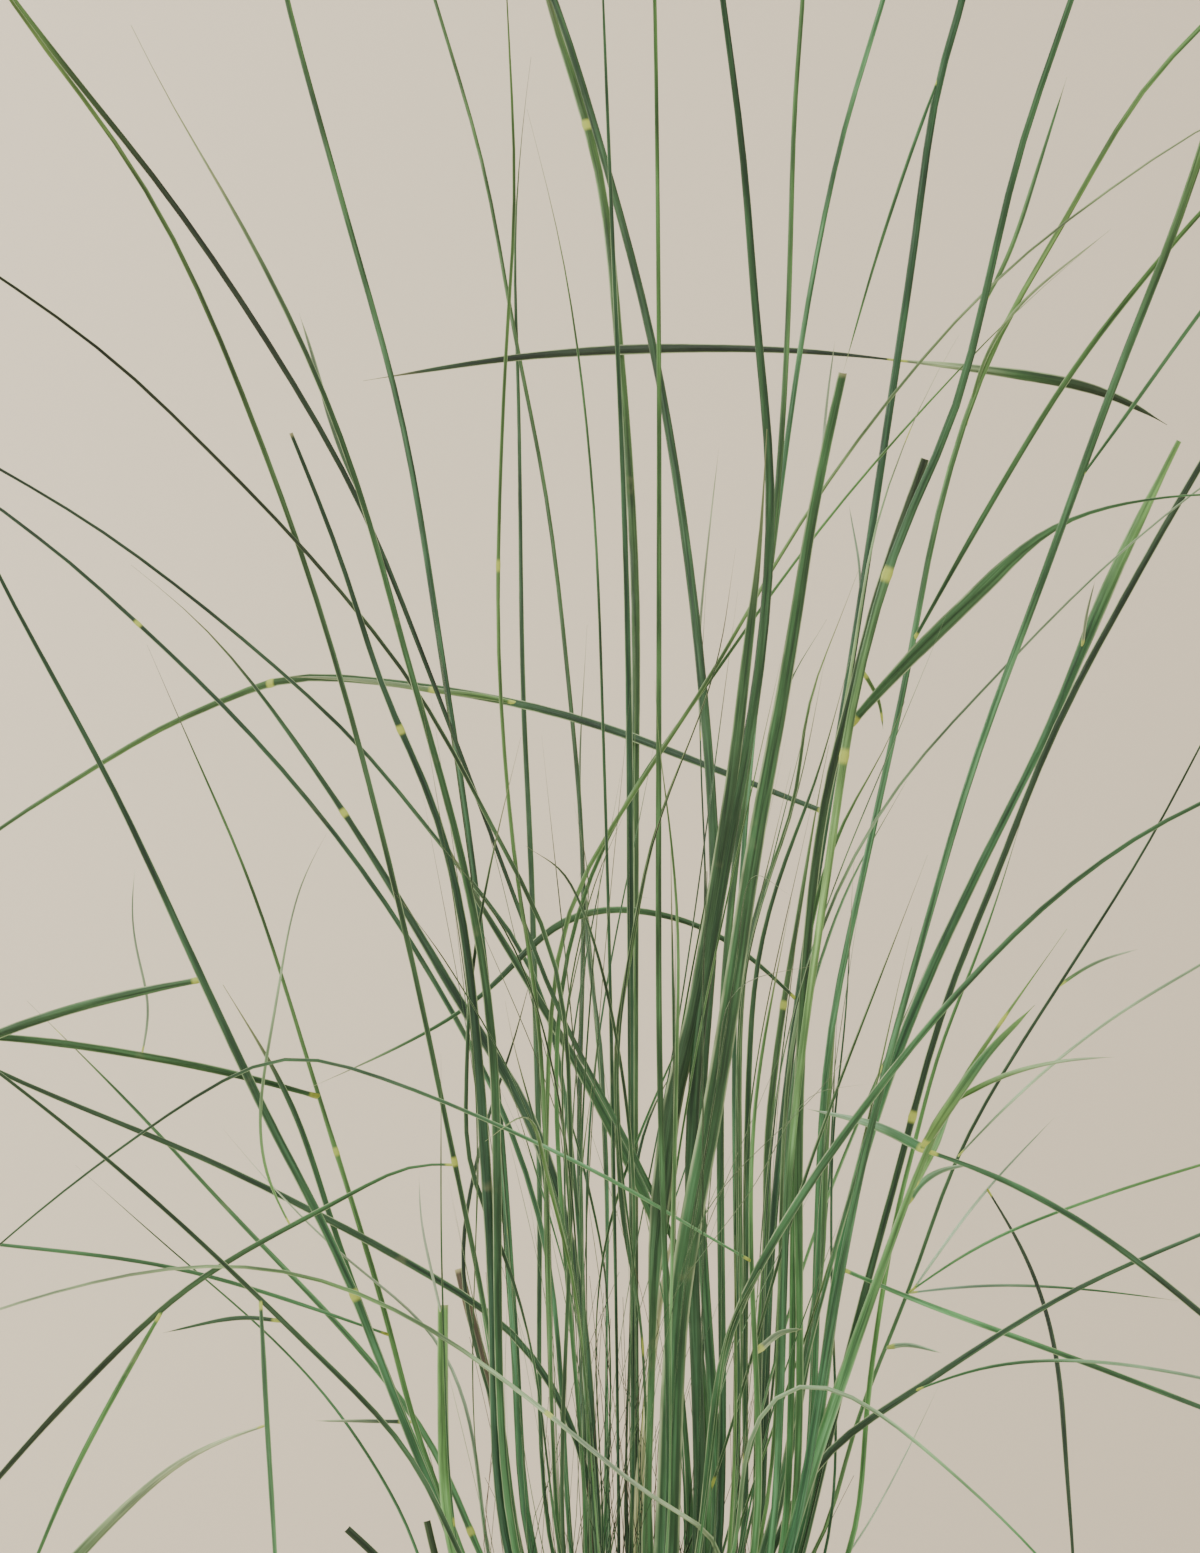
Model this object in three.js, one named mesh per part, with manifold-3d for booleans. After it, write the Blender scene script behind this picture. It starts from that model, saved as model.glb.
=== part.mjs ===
// Potted white cloud muhly grass: leafy tillers in soil in a plain pot, with airy white plumes.
// Millimetres, +Z up, origin at the centre of the pot's underside. The front is towards -Y.
import * as THREE from "three";
import { mergeVertices } from "three/addons/utils/BufferGeometryUtils.js";
import Module from "manifold-3d";

const wasm = await Module();
wasm.setup();

// Pot and soil
const POT_HEIGHT = 210;
const POT_TOP_RADIUS = 108;
const POT_FOOT_RADIUS = 85;
const POT_WALL = 5;
const POT_SIDES = 24;
const RIM_HEIGHT = 20;
const RIM_STEP = 4;
const RIM_BEVEL = 2;
const FOOT_BEVEL = 3;
const SOIL_LEVEL = 190;
const SOIL_CROWN = 3;
const SOIL_SLOPE = 24;
const SEAT_GAP = 0.3;

// Crown of the clump: one root site for each tiller on a triangular lattice
const SITE_PITCH = 8.4;
const SITE_RADIUS = 34;
const RING_GRAIN = 0.01;
const STUB_RADIUS = 2.9;
const STUB_DEPTH = 28;
const STUB_RISE = 14;
const STUB_SIDES = 5;
const HOLE_GAP = 0.38;
const STRAND_OFFSET = 1.8;
const STRAND_SEAT = 2;
const GOLDEN_TURN = 2.4;

// Front view that the routes were read in: the eye stands in front of the pot's axis
const EYE_DISTANCE = 1600;
const EYE_X = -9;
const EYE_Z = 459;

// From the foot to the first point read, and where side leaves fork off
const ROOTED_BELOW = 285;
const RISE_HEIGHT = 20;
const RISE_SHARE = 0.16;
const FORK_REACH = 4;

// Leaves that are still wide this far to the side run out in a tip beyond their last point
const STILL_WIDE = 154;
const RUN_OUT = 52;
const RUN_OUT_DROOP = 0.35;

// How strands lie in depth and keep clear of each other
const DEPTH_LEAN = 0.3;
const ROOT_DEPTH_SPREAD = 90;
const ROOT_PULL = 0.5;
const STRAND_FAN = 0.1;
const FAN_STEPS = 5;
const SIDE_LEAN = 0.55;
const SIDE_LEAN_STEP = 1.9;
const CLEARANCE = 0.4;
const LEAN_STEP = 0.022;
const BOW_STEP = 3;
const BEND_RINGS = 16;

// Sections of blades and stems
const BLADE_THICKNESS = [0.65, 0.95];
const BLADE_THICKNESS_RATIO = 0.3;
const BASE_WIDTH = 0.55;
const SWELL_END = 0.15;
const TIP_WIDTH = 0.3;
const TIP_TAPER = 1.3;
const CUT_END_WIDTH = 0.8;
const STEM_END_WIDTH = 0.55;
const ROLL_SPREAD = 0.6;
const ROLL_STEP = 3.7;
const ROLL_TWIST = 0.5;

// Filler leaves that are drawn by a seeded rule: upright ones, and arching ones front and back
const FILL_TILLERS = 9;
const FILL_LEAVES = 6;
const SIDE_FILL_LEAVES = 3;
const FILL_WIDTH = [0.8, 1.9];
const FILL_ROLL = [-0.9, 0.9];
const BEND_POWER = 1.7;
const UPRIGHT = { turn: [-2.5, 2.5], length: [120, 320], lean: [0.04, 0.3], bend: [0.05, 0.4], steps: 3 };
const ARCHING = { turn: [-0.6, 0.6], length: [230, 420], lean: [0.12, 0.32], bend: [0.8, 1.7], steps: 6 };
const ARCH_FROM = 9;
const ARCH_SHARE = 0.75;
const DRAW_TRIES = 24;
const CORE_CENTRE = 4;
const CORE_HALF_WIDTH = 48;
const CORE_FLARE = 0.07;

// Plumes
const PLUME_LENGTH = 275;
const PLUME_SEGMENTS = 5;
const PLUME_NOD = 0.1;
const AXIS_WIDTH = 1.6;
const AXIS_TAPER = 0.3;
const BRANCHES = 13;
const BRANCH_FROM = 0.1;
const BRANCH_SPAN = 0.86;
const BRANCH_LENGTH = 88;
const BRANCH_SHORTENING = 0.55;
const BRANCH_TURN = [-0.8, 0.8];
const BRANCH_OPENING = [0.5, 0.85];
const BRANCH_WIDTH = 0.7;
const SPIKELET_WIDTH = 1.6;
const SPIKELET_PLACE = 0.92;

const SEED = 20417;
const MERGE_DISTANCE = 0.001;
const PARALLEL_LIMIT = 1e-9;
const FRONT = new THREE.Vector3(0, 1, 0);
const UP = new THREE.Vector3(0, 0, 1);

const strandMaker = (kind) => (width, route) => ({ kind, width, route });
const leaf = strandMaker("leaf");
const cut = strandMaker("cut");
const plume = strandMaker("plume");

// Routes in the front view, [x, z] from the base up, one list for each tiller.
// A route that starts above ROOTED_BELOW grows from the nearest point of its tiller.
const TILLERS = [
  // Far left culm with its level side leaf, a blade beside it and a clipped stub
  [
    leaf(1.8, [[-45, 266], [-58, 298], [-74, 339], [-93, 376], [-108, 408], [-125, 445], [-134, 463],
      [-159, 509], [-174, 540]]),
    leaf(1.7, [[-109, 408], [-130, 404], [-159, 395], [-181, 384]]),
    leaf(1.4, [[-49, 278], [-62, 310], [-74, 342], [-86, 378], [-103, 407]]),
    cut(1.6, [[-60, 260], [-72, 271]]),
  ],
  // Thin left culm with its three side leaves
  [
    leaf(1.1, [[-43, 265], [-54, 293], [-63, 327], [-79, 379], [-96, 432], [-112, 469], [-122, 492]]),
    leaf(1.25, [[-79, 379], [-101, 385], [-140, 392], [-159, 394], [-181, 394]]),
    leaf(0.8, [[-62, 319], [-92, 330], [-118, 337], [-159, 342], [-186, 344]]),
    leaf(0.9, [[-58, 297], [-69, 298], [-80, 298]]),
  ],
  // Low left diagonal with a hanging leaf
  [
    leaf(1.1, [[-44, 265], [-57, 291], [-82, 317], [-111, 345], [-135, 366], [-159, 385], [-184, 402]]),
    leaf(0.9, [[-94, 328], [-93, 317], [-92, 297], [-90, 266], [-89, 243], [-88, 223]]),
    leaf(2, [[-92, 297], [-111, 290], [-132, 272], [-146, 257], [-164, 233]]),
    leaf(0.9, [[-88, 323], [-98, 324], [-118, 320]]),
  ],
  // Two thin low left diagonals
  [
    leaf(1.1, [[-39, 265], [-50, 291], [-67, 314], [-101, 350], [-125, 376], [-152, 403]]),
    leaf(0.7, [[-51, 253], [-54, 266], [-73, 299], [-92, 320], [-114, 339], [-140, 362]]),
  ],
  // Clipped blades at the left foot
  [
    cut(2.6, [[-46, 266], [-48, 298], [-48, 327]]),
    cut(1.9, [[-48, 256], [-52, 273]]),
    leaf(0.9, [[-37, 265], [-41, 298], [-50, 320], [-73, 339], [-93, 359], [-103, 371]]),
  ],
  // Left culm that forks high up, with an arching side leaf
  [
    leaf(1.1, [[-29, 265], [-35, 312], [-46, 367], [-58, 423], [-74, 485], [-88, 528], [-112, 587],
      [-128, 615], [-157, 654], [-166, 669]]),
    leaf(1.3, [[-45, 362], [-51, 364], [-76, 352], [-111, 332], [-135, 310], [-159, 284], [-179, 258]]),
    leaf(0.9, [[-119, 326], [-130, 305], [-144, 278], [-151, 260], [-160, 241]]),
  ],
  // Left plume stem with a clipped blade
  [
    plume(1.9, [[-26, 265], [-30, 317], [-34, 374], [-40, 432], [-48, 487], [-58, 547], [-73, 602],
      [-87, 653], [-93, 681]]),
    cut(2.6, [[-31, 265], [-35, 303], [-41, 323], [-44, 336]]),
  ],
  // Upright blades left of the middle
  [
    leaf(1.4, [[-30, 265], [-36, 398], [-44, 442], [-56, 485], [-68, 528], [-79, 558], [-96, 593],
      [-118, 631], [-126, 647]]),
    cut(1.6, [[-32, 265], [-36, 341], [-43, 423], [-51, 454], [-62, 478], [-74, 515], [-86, 545]]),
  ],
  // Long blades to the left
  [
    leaf(1.6, [[-9, 265], [-15, 336], [-27, 376], [-41, 398], [-60, 430], [-74, 452], [-96, 483],
      [-109, 498], [-126, 512]]),
    leaf(1.5, [[-9, 265], [-14, 293], [-30, 320], [-54, 336], [-76, 348], [-104, 362], [-140, 377],
      [-159, 385], [-186, 398]]),
  ],
  // Arching blades to the left
  [
    leaf(0.9, [[-12, 265], [-15, 358], [-25, 410], [-47, 440], [-69, 467], [-87, 484], [-111, 504],
      [-134, 521], [-159, 536], [-191, 552]]),
    leaf(1.1, [[-16, 265], [-22, 341], [-34, 378], [-45, 399], [-62, 427], [-84, 456], [-104, 478],
      [-125, 498], [-144, 515], [-159, 526], [-166, 532]]),
  ],
  // Dark thin blade to the left and an upright one
  [
    leaf(0.9, [[-18, 265], [-16, 366], [-20, 414], [-35, 445], [-54, 480], [-81, 514], [-109, 543],
      [-130, 563], [-159, 584], [-186, 600]]),
    leaf(0.9, [[-19, 265], [-24, 398], [-30, 437], [-34, 487], [-34, 523], [-32, 570], [-30, 603],
      [-32, 653], [-34, 693]]),
  ],
  // Plume stem with an upright blade
  [
    plume(1.2, [[-11, 265], [-14, 366], [-13, 437], [-17, 486], [-22, 528], [-30, 569], [-38, 612],
      [-50, 653], [-59, 683]]),
    leaf(1, [[-21, 265], [-24, 366], [-26, 437], [-28, 480], [-29, 548], [-30, 596], [-27, 632],
      [-26, 639]]),
  ],
  // Two thin blades that sweep from the middle to the right
  [
    leaf(1, [[-19, 265], [-22, 378], [-17, 425], [-1, 454], [17, 481], [41, 522], [64, 554], [91, 584],
      [126, 611], [151, 626]]),
    leaf(1, [[-12, 265], [-19, 403], [-6, 446], [18, 482], [47, 522], [71, 550], [98, 578], [119, 596]
      ]),
  ],
  // Thin upright blades in the middle
  [
    leaf(0.8, [[-4, 265], [-6, 398], [-8, 472], [-10, 523], [-14, 564], [-19, 594], [-27, 626]]),
    leaf(0.9, [[-1, 265], [-1, 378], [-2, 503], [-6, 603], [-8, 654], [-10, 711]]),
  ],
  // Wide upright blade with a straw coloured one
  [
    leaf(1.5, [[1, 265], [0, 353], [0, 447], [0, 509], [-4, 567], [-9, 611], [-22, 654], [-34, 701]]),
    leaf(1.8, [[0, 266], [3, 300], [6, 327], [11, 353]]),
  ],
  // Straight plume stem in the middle
  [
    plume(1.1, [[8, 265], [6, 398], [6, 490], [6, 567], [5, 653], [4, 686]]),
  ],
  // Thick plume stem that leans left
  [
    plume(1.8, [[20, 265], [16, 366], [20, 432], [17, 480], [12, 523], [4, 569], [-9, 618], [-20, 653],
      [-32, 682]]),
  ],
  // Long plume stem out to the upper left
  [
    plume(1.8, [[18, 265], [14, 331], [1, 362], [-18, 398], [-35, 442], [-51, 484], [-69, 528],
      [-92, 568], [-118, 606], [-138, 631], [-156, 654], [-174, 678]]),
  ],
  // Blue green plume stem
  [
    plume(2.2, [[16, 265], [14, 366], [17, 404], [24, 445], [31, 485], [34, 529], [30, 577], [27, 615],
      [22, 653], [18, 683]]),
  ],
  // Low leaf to the far left
  [
    leaf(1.1, [[22, 265], [1, 281], [-27, 304], [-56, 324], [-84, 335], [-107, 337], [-130, 334],
      [-159, 326], [-184, 316]]),
  ],
  // Widest dark blade with a clipped tip
  [
    cut(4.6, [[8, 265], [11, 328], [21, 384], [30, 442], [38, 485], [45, 528], [52, 560]]),
  ],
  // Thin straight plume stem
  [
    plume(1.3, [[21, 265], [22, 403], [30, 478], [35, 523], [38, 567], [40, 629], [42, 653], [43, 684]
      ]),
  ],
  // Plume stem right of the middle
  [
    plume(1.6, [[25, 265], [25, 403], [31, 485], [38, 543], [44, 582], [52, 620], [62, 653], [70, 683]
      ]),
  ],
  // Stout short blade with a long arching leaf to the left
  [
    leaf(2, [[30, 265], [30, 317], [29, 338], [30, 378], [39, 428]]),
    leaf(0.8, [[29, 338], [15, 346], [-9, 360], [-48, 378], [-70, 386], [-86, 390], [-100, 385],
      [-133, 363], [-159, 342], [-186, 316]]),
  ],
  // Blue green plume stem with two long level leaves, a high leaf and two arching ones
  [
    plume(2.1, [[31, 265], [34, 341], [40, 398], [48, 450], [56, 500], [62, 540], [69, 586], [76, 634],
      [82, 653], [88, 683]]),
    leaf(1.8, [[66, 563], [49, 565], [31, 566], [1, 566], [-29, 564], [-68, 558]]),
    leaf(2.1, [[66, 563], [86, 561], [119, 555], [133, 547]]),
    leaf(0.8, [[76, 634], [70, 618], [60, 588], [52, 560]]),
    leaf(1.5, [[48, 450], [20, 461], [-9, 472], [-32, 478], [-65, 483], [-87, 484], [-101, 479],
      [-121, 470], [-134, 462], [-159, 446], [-181, 428]]),
    leaf(1.2, [[40, 403], [27, 416], [17, 422], [1, 426], [-17, 425], [-39, 403], [-62, 390], [-82, 381]
      ]),
  ],
  // Light plume stem with a thin twin and a broad side leaf
  [
    plume(2, [[34, 265], [39, 366], [49, 441], [55, 480], [65, 516], [80, 550], [87, 577], [96, 615],
      [109, 653], [119, 683]]),
    leaf(0.7, [[87, 577], [93, 588], [101, 612], [108, 634]]),
    leaf(2.9, [[55, 472], [72, 492], [85, 504], [104, 522], [125, 528], [145, 530], [164, 528]]),
  ],
  // Thin blades that sweep up to the right
  [
    leaf(1.4, [[16, 265], [23, 319], [37, 347], [54, 372], [77, 401], [106, 430], [132, 448],
      [145, 454], [174, 466]]),
    leaf(0.8, [[31, 265], [41, 403], [61, 450], [92, 486], [120, 514], [145, 534], [159, 543]]),
  ],
  // Plume stem that leans far right
  [
    plume(1.7, [[41, 265], [48, 389], [58, 439], [68, 485], [76, 526], [88, 563], [108, 599],
      [127, 631], [145, 650], [176, 680]]),
    leaf(1.2, [[69, 493], [87, 524], [109, 560], [130, 587], [145, 604], [164, 621]]),
  ],
  // Right plume stem with a thin upper leaf and a low one
  [
    plume(2.2, [[39, 266], [49, 322], [57, 363], [64, 391], [72, 419], [85, 463], [101, 506],
      [120, 558], [135, 596], [144, 623], [160, 681]]),
    leaf(0.9, [[111, 533], [124, 551], [145, 580], [164, 602]]),
    leaf(1.1, [[52, 336], [68, 329], [106, 315], [145, 300], [169, 290]]),
  ],
  // Broad pointed blade to the right
  [
    leaf(2.5, [[40, 265], [54, 353], [69, 399], [86, 436], [104, 472], [118, 506], [130, 531],
      [136, 543]]),
  ],
  // Long blade beside it
  [
    leaf(1.9, [[42, 266], [54, 317], [67, 365], [77, 401], [91, 436], [105, 471], [127, 512],
      [145, 543], [164, 572]]),
  ],
  // Arched pale blade low on the right
  [
    leaf(1, [[25, 265], [28, 293], [36, 308], [44, 309], [54, 305], [76, 288], [104, 261], [124, 233],
      [136, 212]]),
  ],
  // Thin right culm with a fan of fine leaves
  [
    leaf(0.9, [[46, 266], [55, 297], [69, 332], [80, 363], [92, 385], [108, 410], [127, 440],
      [141, 466], [152, 486]]),
    leaf(0.7, [[80, 364], [94, 378], [118, 398], [145, 414], [159, 422]]),
    leaf(0.75, [[68, 330], [86, 342], [116, 354], [145, 363], [166, 368]]),
    leaf(0.7, [[68, 330], [87, 332], [112, 331], [136, 328]]),
    leaf(0.7, [[69, 330], [78, 343], [88, 356], [105, 374]]),
    leaf(0.9, [[88, 356], [98, 339], [105, 317], [108, 284], [110, 256], [110, 233]]),
  ],
  // Right culm with a pale tuft and two level leaves
  [
    leaf(1.8, [[38, 265], [61, 334], [71, 361], [81, 382], [96, 404], [108, 421]]),
    leaf(1, [[78, 378], [91, 384], [106, 388], [120, 389]]),
    leaf(1.7, [[72, 366], [91, 359], [116, 345], [145, 322], [166, 303]]),
    leaf(1.6, [[72, 366], [60, 372], [43, 376]]),
  ],
  // Low blade to the right with a side leaf
  [
    leaf(1.2, [[34, 265], [47, 290], [66, 303], [90, 319], [112, 332], [145, 346], [171, 356]]),
    leaf(0.8, [[70, 305], [88, 312], [116, 313], [145, 308], [164, 303]]),
  ],
];

// A repeatable draw between 0 and 1
function makeDraw(seed) {
  let state = seed >>> 0;
  return () => {
    state = (state + 0x6d2b79f5) >>> 0;
    let t = state;
    t = Math.imul(t ^ (t >>> 15), t | 1);
    t = (t ^ (t + Math.imul(t ^ (t >>> 7), t | 61))) >>> 0;
    return ((t ^ (t >>> 14)) >>> 0) / 4294967296;
  };
}

function between(draw, [low, high]) {
  return low + (high - low) * draw();
}

// Point of the front view at a given depth, and back
function fromView(x, z, y) {
  const scale = (EYE_DISTANCE + y) / EYE_DISTANCE;
  return new THREE.Vector3(EYE_X + (x - EYE_X) * scale, y, EYE_Z + (z - EYE_Z) * scale);
}

function toView(point) {
  const scale = EYE_DISTANCE / (EYE_DISTANCE + point.y);
  return [EYE_X + (point.x - EYE_X) * scale, EYE_Z + (point.z - EYE_Z) * scale];
}

// Least distance between segments ab and cd
function segmentGap(a, b, c, d) {
  const u = b.clone().sub(a);
  const v = d.clone().sub(c);
  const w = a.clone().sub(c);
  const uu = u.dot(u);
  const vv = v.dot(v);
  const uv = u.dot(v);
  const uw = u.dot(w);
  const vw = v.dot(w);
  const clamp = (value) => Math.min(1, Math.max(0, value));
  const spread = uu * vv - uv * uv;
  let s = spread > PARALLEL_LIMIT ? clamp((uv * vw - vv * uw) / spread) : 0;
  let t = (uv * s + vw) / vv;
  if (t < 0 || t > 1) {
    t = clamp(t);
    s = clamp((uv * t - uw) / uu);
  }
  return w.addScaledVector(u, s).addScaledVector(v, -t).length();
}

// What is already placed: segments with their tiller and radius
const placed = [];

function addPlaced(owner, points, radius) {
  for (let i = 1; i < points.length; i += 1) {
    const box = new THREE.Box3().setFromPoints([points[i - 1], points[i]]).expandByScalar(radius);
    placed.push({ owner, a: points[i - 1], b: points[i], radius, box });
  }
}

function isClear(owner, points, radius) {
  const reach = new THREE.Box3();
  for (let i = 1; i < points.length; i += 1) {
    reach.setFromPoints([points[i - 1], points[i]]).expandByScalar(radius + CLEARANCE);
    for (const other of placed) {
      if (other.owner === owner || !reach.intersectsBox(other.box)) {
        continue;
      }
      const gap = segmentGap(points[i - 1], points[i], other.a, other.b);
      if (gap < radius + other.radius + CLEARANCE) {
        return false;
      }
    }
  }
  return true;
}

// Small changes of lean and bow, the gentlest first
function* bends() {
  for (let ring = 0; ring <= BEND_RINGS; ring += 1) {
    for (let bow = -ring; bow <= ring; bow += 1) {
      const lean = ring - Math.abs(bow);
      yield [bow * BOW_STEP, lean * LEAN_STEP];
      if (lean > 0) {
        yield [bow * BOW_STEP, -lean * LEAN_STEP];
      }
    }
  }
}

// Root sites inside the crown, nearest to the middle first, and those of one ring by x and y
function rootSites() {
  const sites = [];
  const rowPitch = SITE_PITCH * Math.sqrt(0.75);
  const rows = Math.ceil(SITE_RADIUS / rowPitch);
  for (let row = -rows; row <= rows; row += 1) {
    const shift = row % 2 === 0 ? 0 : SITE_PITCH / 2;
    for (let column = -rows; column <= rows; column += 1) {
      const x = column * SITE_PITCH + shift;
      const y = row * rowPitch;
      const radius = Math.hypot(x, y);
      if (radius < SITE_RADIUS) {
        sites.push({ x, y, radius });
      }
    }
  }
  const ring = (site) => Math.round(site.radius / RING_GRAIN);
  sites.sort((one, two) => ring(one) - ring(two) || one.x - two.x || one.y - two.y);
  return sites.slice(0, TILLERS.length + FILL_TILLERS);
}

function takeSite(sites, x, y) {
  const away = sites.map((site) => (site.x - x) * (site.x - x) + (site.y - y) * (site.y - y));
  return sites.splice(away.indexOf(Math.min(...away)), 1)[0];
}

// Foot of a strand inside its tiller's stub, each on its own side of the middle
function strandFoot(site, index) {
  const angle = GOLDEN_TURN * index;
  const offset = index > 0 ? STRAND_OFFSET : 0;
  const x = site.x + offset * Math.cos(angle);
  const y = site.y + offset * Math.sin(angle);
  return new THREE.Vector3(x, y, SOIL_LEVEL + STRAND_SEAT);
}

// Nearest point of a tiller's front view routes, with its depth
function nearestOn(strands, x, z) {
  let best = { distance: Infinity };
  for (const strand of strands) {
    for (let i = 1; i < strand.view.length; i += 1) {
      const [ax, az] = strand.view[i - 1];
      const [bx, bz] = strand.view[i];
      const length = (bx - ax) ** 2 + (bz - az) ** 2;
      const t = Math.min(1, Math.max(0, ((x - ax) * (bx - ax) + (z - az) * (bz - az)) / length));
      const point = [ax + (bx - ax) * t, az + (bz - az) * t];
      const distance = Math.hypot(point[0] - x, point[1] - z);
      if (distance < best.distance) {
        const a = strand.points[i - 1];
        const b = strand.points[i];
        best = { distance, point: toView(a.clone().lerp(b, t)), depth: a.y + (b.y - a.y) * t };
      }
    }
  }
  return best;
}

// Adds the drooping tip to a leaf that ends far out to the side
function runOut(strand) {
  const [[fromX, fromZ], [x, z]] = strand.route.slice(-2);
  if (strand.kind !== "leaf" || Math.abs(x - EYE_X) < STILL_WIDE) {
    return strand;
  }
  const length = Math.hypot(x - fromX, z - fromZ);
  const heading = [(x - fromX) / length, (z - fromZ) / length - RUN_OUT_DROOP];
  const reach = RUN_OUT / Math.hypot(...heading);
  return { ...strand, route: [...strand.route, [x + heading[0] * reach, z + heading[1] * reach]] };
}

// Front view route from the foot or fork on
function fullRoute(strand, tiller, index) {
  const [x, z] = strand.route[0];
  if (z < ROOTED_BELOW) {
    const foot = strandFoot(tiller.site, index);
    const start = toView(foot);
    const rise = [start[0] + (x - start[0]) * RISE_SHARE, start[1] + RISE_HEIGHT];
    return { view: [start, rise, ...strand.route], depth: foot.y, lean: tiller.lean };
  }
  const fork = nearestOn(tiller.strands, x, z);
  const skip = fork.distance < FORK_REACH ? 1 : 0;
  const lean = SIDE_LEAN * Math.sin(SIDE_LEAN_STEP * index + tiller.number);
  return { view: [fork.point, ...strand.route.slice(skip)], depth: fork.depth, lean };
}

function placeDepth(view, start, lean, bow) {
  const along = [0];
  for (let i = 1; i < view.length; i += 1) {
    along.push(along[i - 1] + Math.hypot(view[i][0] - view[i - 1][0], view[i][1] - view[i - 1][1]));
  }
  const length = along[along.length - 1];
  return view.map(([x, z], i) => {
    const u = along[i] / length;
    return fromView(x, z, start + lean * length * u + bow * Math.sin(Math.PI * u));
  });
}

// The strands of a tiller fan out in depth, to both sides of its first strand
function fanLean(index) {
  return index === 0 ? 0 : STRAND_FAN * (((index * 2) % FAN_STEPS) - Math.floor(FAN_STEPS / 2));
}

function placeReadStrand(strand, tiller, index) {
  const { view, depth, lean } = fullRoute(strand, tiller, index);
  for (const [bow, leanChange] of bends()) {
    const points = placeDepth(view, depth, lean + fanLean(index) + leanChange, bow);
    if (isClear(tiller.name, points, strand.width / 2)) {
      const roll = Math.PI / 2 + ROLL_SPREAD * Math.sin(ROLL_STEP * index + tiller.number);
      tiller.strands.push({ ...strand, view, points, facing: FRONT, roll });
      addPlaced(tiller.name, points, strand.width / 2);
      return;
    }
  }
  throw new Error(`no clear way for strand ${index} of ${tiller.name}`);
}

// Filler leaf from its stub: out along its heading, upright at first, then bending over
function drawLeaf(draw, site, index) {
  const arches = Math.abs(site.y) > ARCH_FROM && draw() < ARCH_SHARE;
  const form = arches ? ARCHING : UPRIGHT;
  const heading = Math.atan2(site.y, site.x) + between(draw, form.turn);
  const out = new THREE.Vector3(Math.cos(heading), Math.sin(heading), 0);
  const step = between(draw, form.length) / form.steps;
  const lean = between(draw, form.lean);
  const bend = between(draw, form.bend);
  const points = [strandFoot(site, index)];
  for (let i = 1; i <= form.steps; i += 1) {
    const angle = lean + bend * ((i - 0.5) / form.steps) ** BEND_POWER;
    const next = points[i - 1].clone().addScaledVector(out, Math.sin(angle) * step);
    points.push(next.addScaledVector(UP, Math.cos(angle) * step));
  }
  const width = between(draw, FILL_WIDTH);
  const roll = between(draw, FILL_ROLL);
  return { kind: "leaf", width, points, facing: new THREE.Vector3(-out.y, out.x, 0), roll };
}

// Filler leaves stay in the dense middle of the front view and above the rim
function isInCore(points) {
  return points.every((point) => {
    const [x, z] = toView(point);
    const halfWidth = CORE_HALF_WIDTH + CORE_FLARE * (z - SOIL_LEVEL);
    return Math.abs(x - CORE_CENTRE) < halfWidth && point.z > SOIL_LEVEL;
  });
}

function placeFiller(draw, tiller, index) {
  for (let tries = 0; tries < DRAW_TRIES; tries += 1) {
    const strand = drawLeaf(draw, tiller.site, index);
    if (isInCore(strand.points) && isClear(tiller.name, strand.points, strand.width / 2)) {
      strand.view = strand.points.map(toView);
      tiller.strands.push(strand);
      addPlaced(tiller.name, strand.points, strand.width / 2);
      return;
    }
  }
}

// Roots every tiller, then lays all its strands
function layTillers(draw) {
  const sites = rootSites();
  const tillers = TILLERS.map((strands, i) => {
    const footX = strands[0].route[0][0];
    const lean = DEPTH_LEAN * Math.sin(GOLDEN_TURN * i);
    const site = takeSite(sites, footX * ROOT_PULL, lean * ROOT_DEPTH_SPREAD);
    return { number: i + 1, source: strands.map(runOut), site, lean: site.y / ROOT_DEPTH_SPREAD };
  });
  for (const site of sites) {
    tillers.push({ number: tillers.length + 1, source: [], site, lean: 0 });
  }
  for (const tiller of tillers) {
    tiller.name = `tiller_${String(tiller.number).padStart(2, "0")}`;
    tiller.strands = [];
    const { x, y } = tiller.site;
    tiller.stub = [-STUB_DEPTH, STUB_RISE].map((rise) => new THREE.Vector3(x, y, SOIL_LEVEL + rise));
    addPlaced(tiller.name, tiller.stub, STUB_RADIUS);
  }
  for (const tiller of tillers) {
    tiller.source.forEach((strand, index) => placeReadStrand(strand, tiller, index));
  }
  for (let round = 0; round < FILL_LEAVES; round += 1) {
    for (const tiller of tillers) {
      if (round < SIDE_FILL_LEAVES || tiller.source.length === 0) {
        placeFiller(draw, tiller, tiller.source.length + round);
      }
    }
  }
  return tillers;
}

// Closed solid through rings of points, each end a flat ring or a single tip point
function ringSolid(rings) {
  const positions = [];
  const starts = rings.map((ring) => {
    const start = positions.length / 3;
    ring.forEach((point) => positions.push(point.x, point.y, point.z));
    return start;
  });
  const triangles = [];
  for (let i = 1; i < rings.length; i += 1) {
    const sides = rings[i - 1].length;
    for (let k = 0; k < sides; k += 1) {
      const next = (k + 1) % sides;
      const below = [starts[i - 1] + k, starts[i - 1] + next];
      if (rings[i].length === 1) {
        triangles.push(below[0], below[1], starts[i]);
      } else {
        triangles.push(below[0], below[1], starts[i] + next, below[0], starts[i] + next, starts[i] + k);
      }
    }
  }
  capRing(triangles, starts[0], rings[0].length, true);
  capRing(triangles, starts[rings.length - 1], rings[rings.length - 1].length, false);
  return solidFrom(positions, triangles);
}

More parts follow.
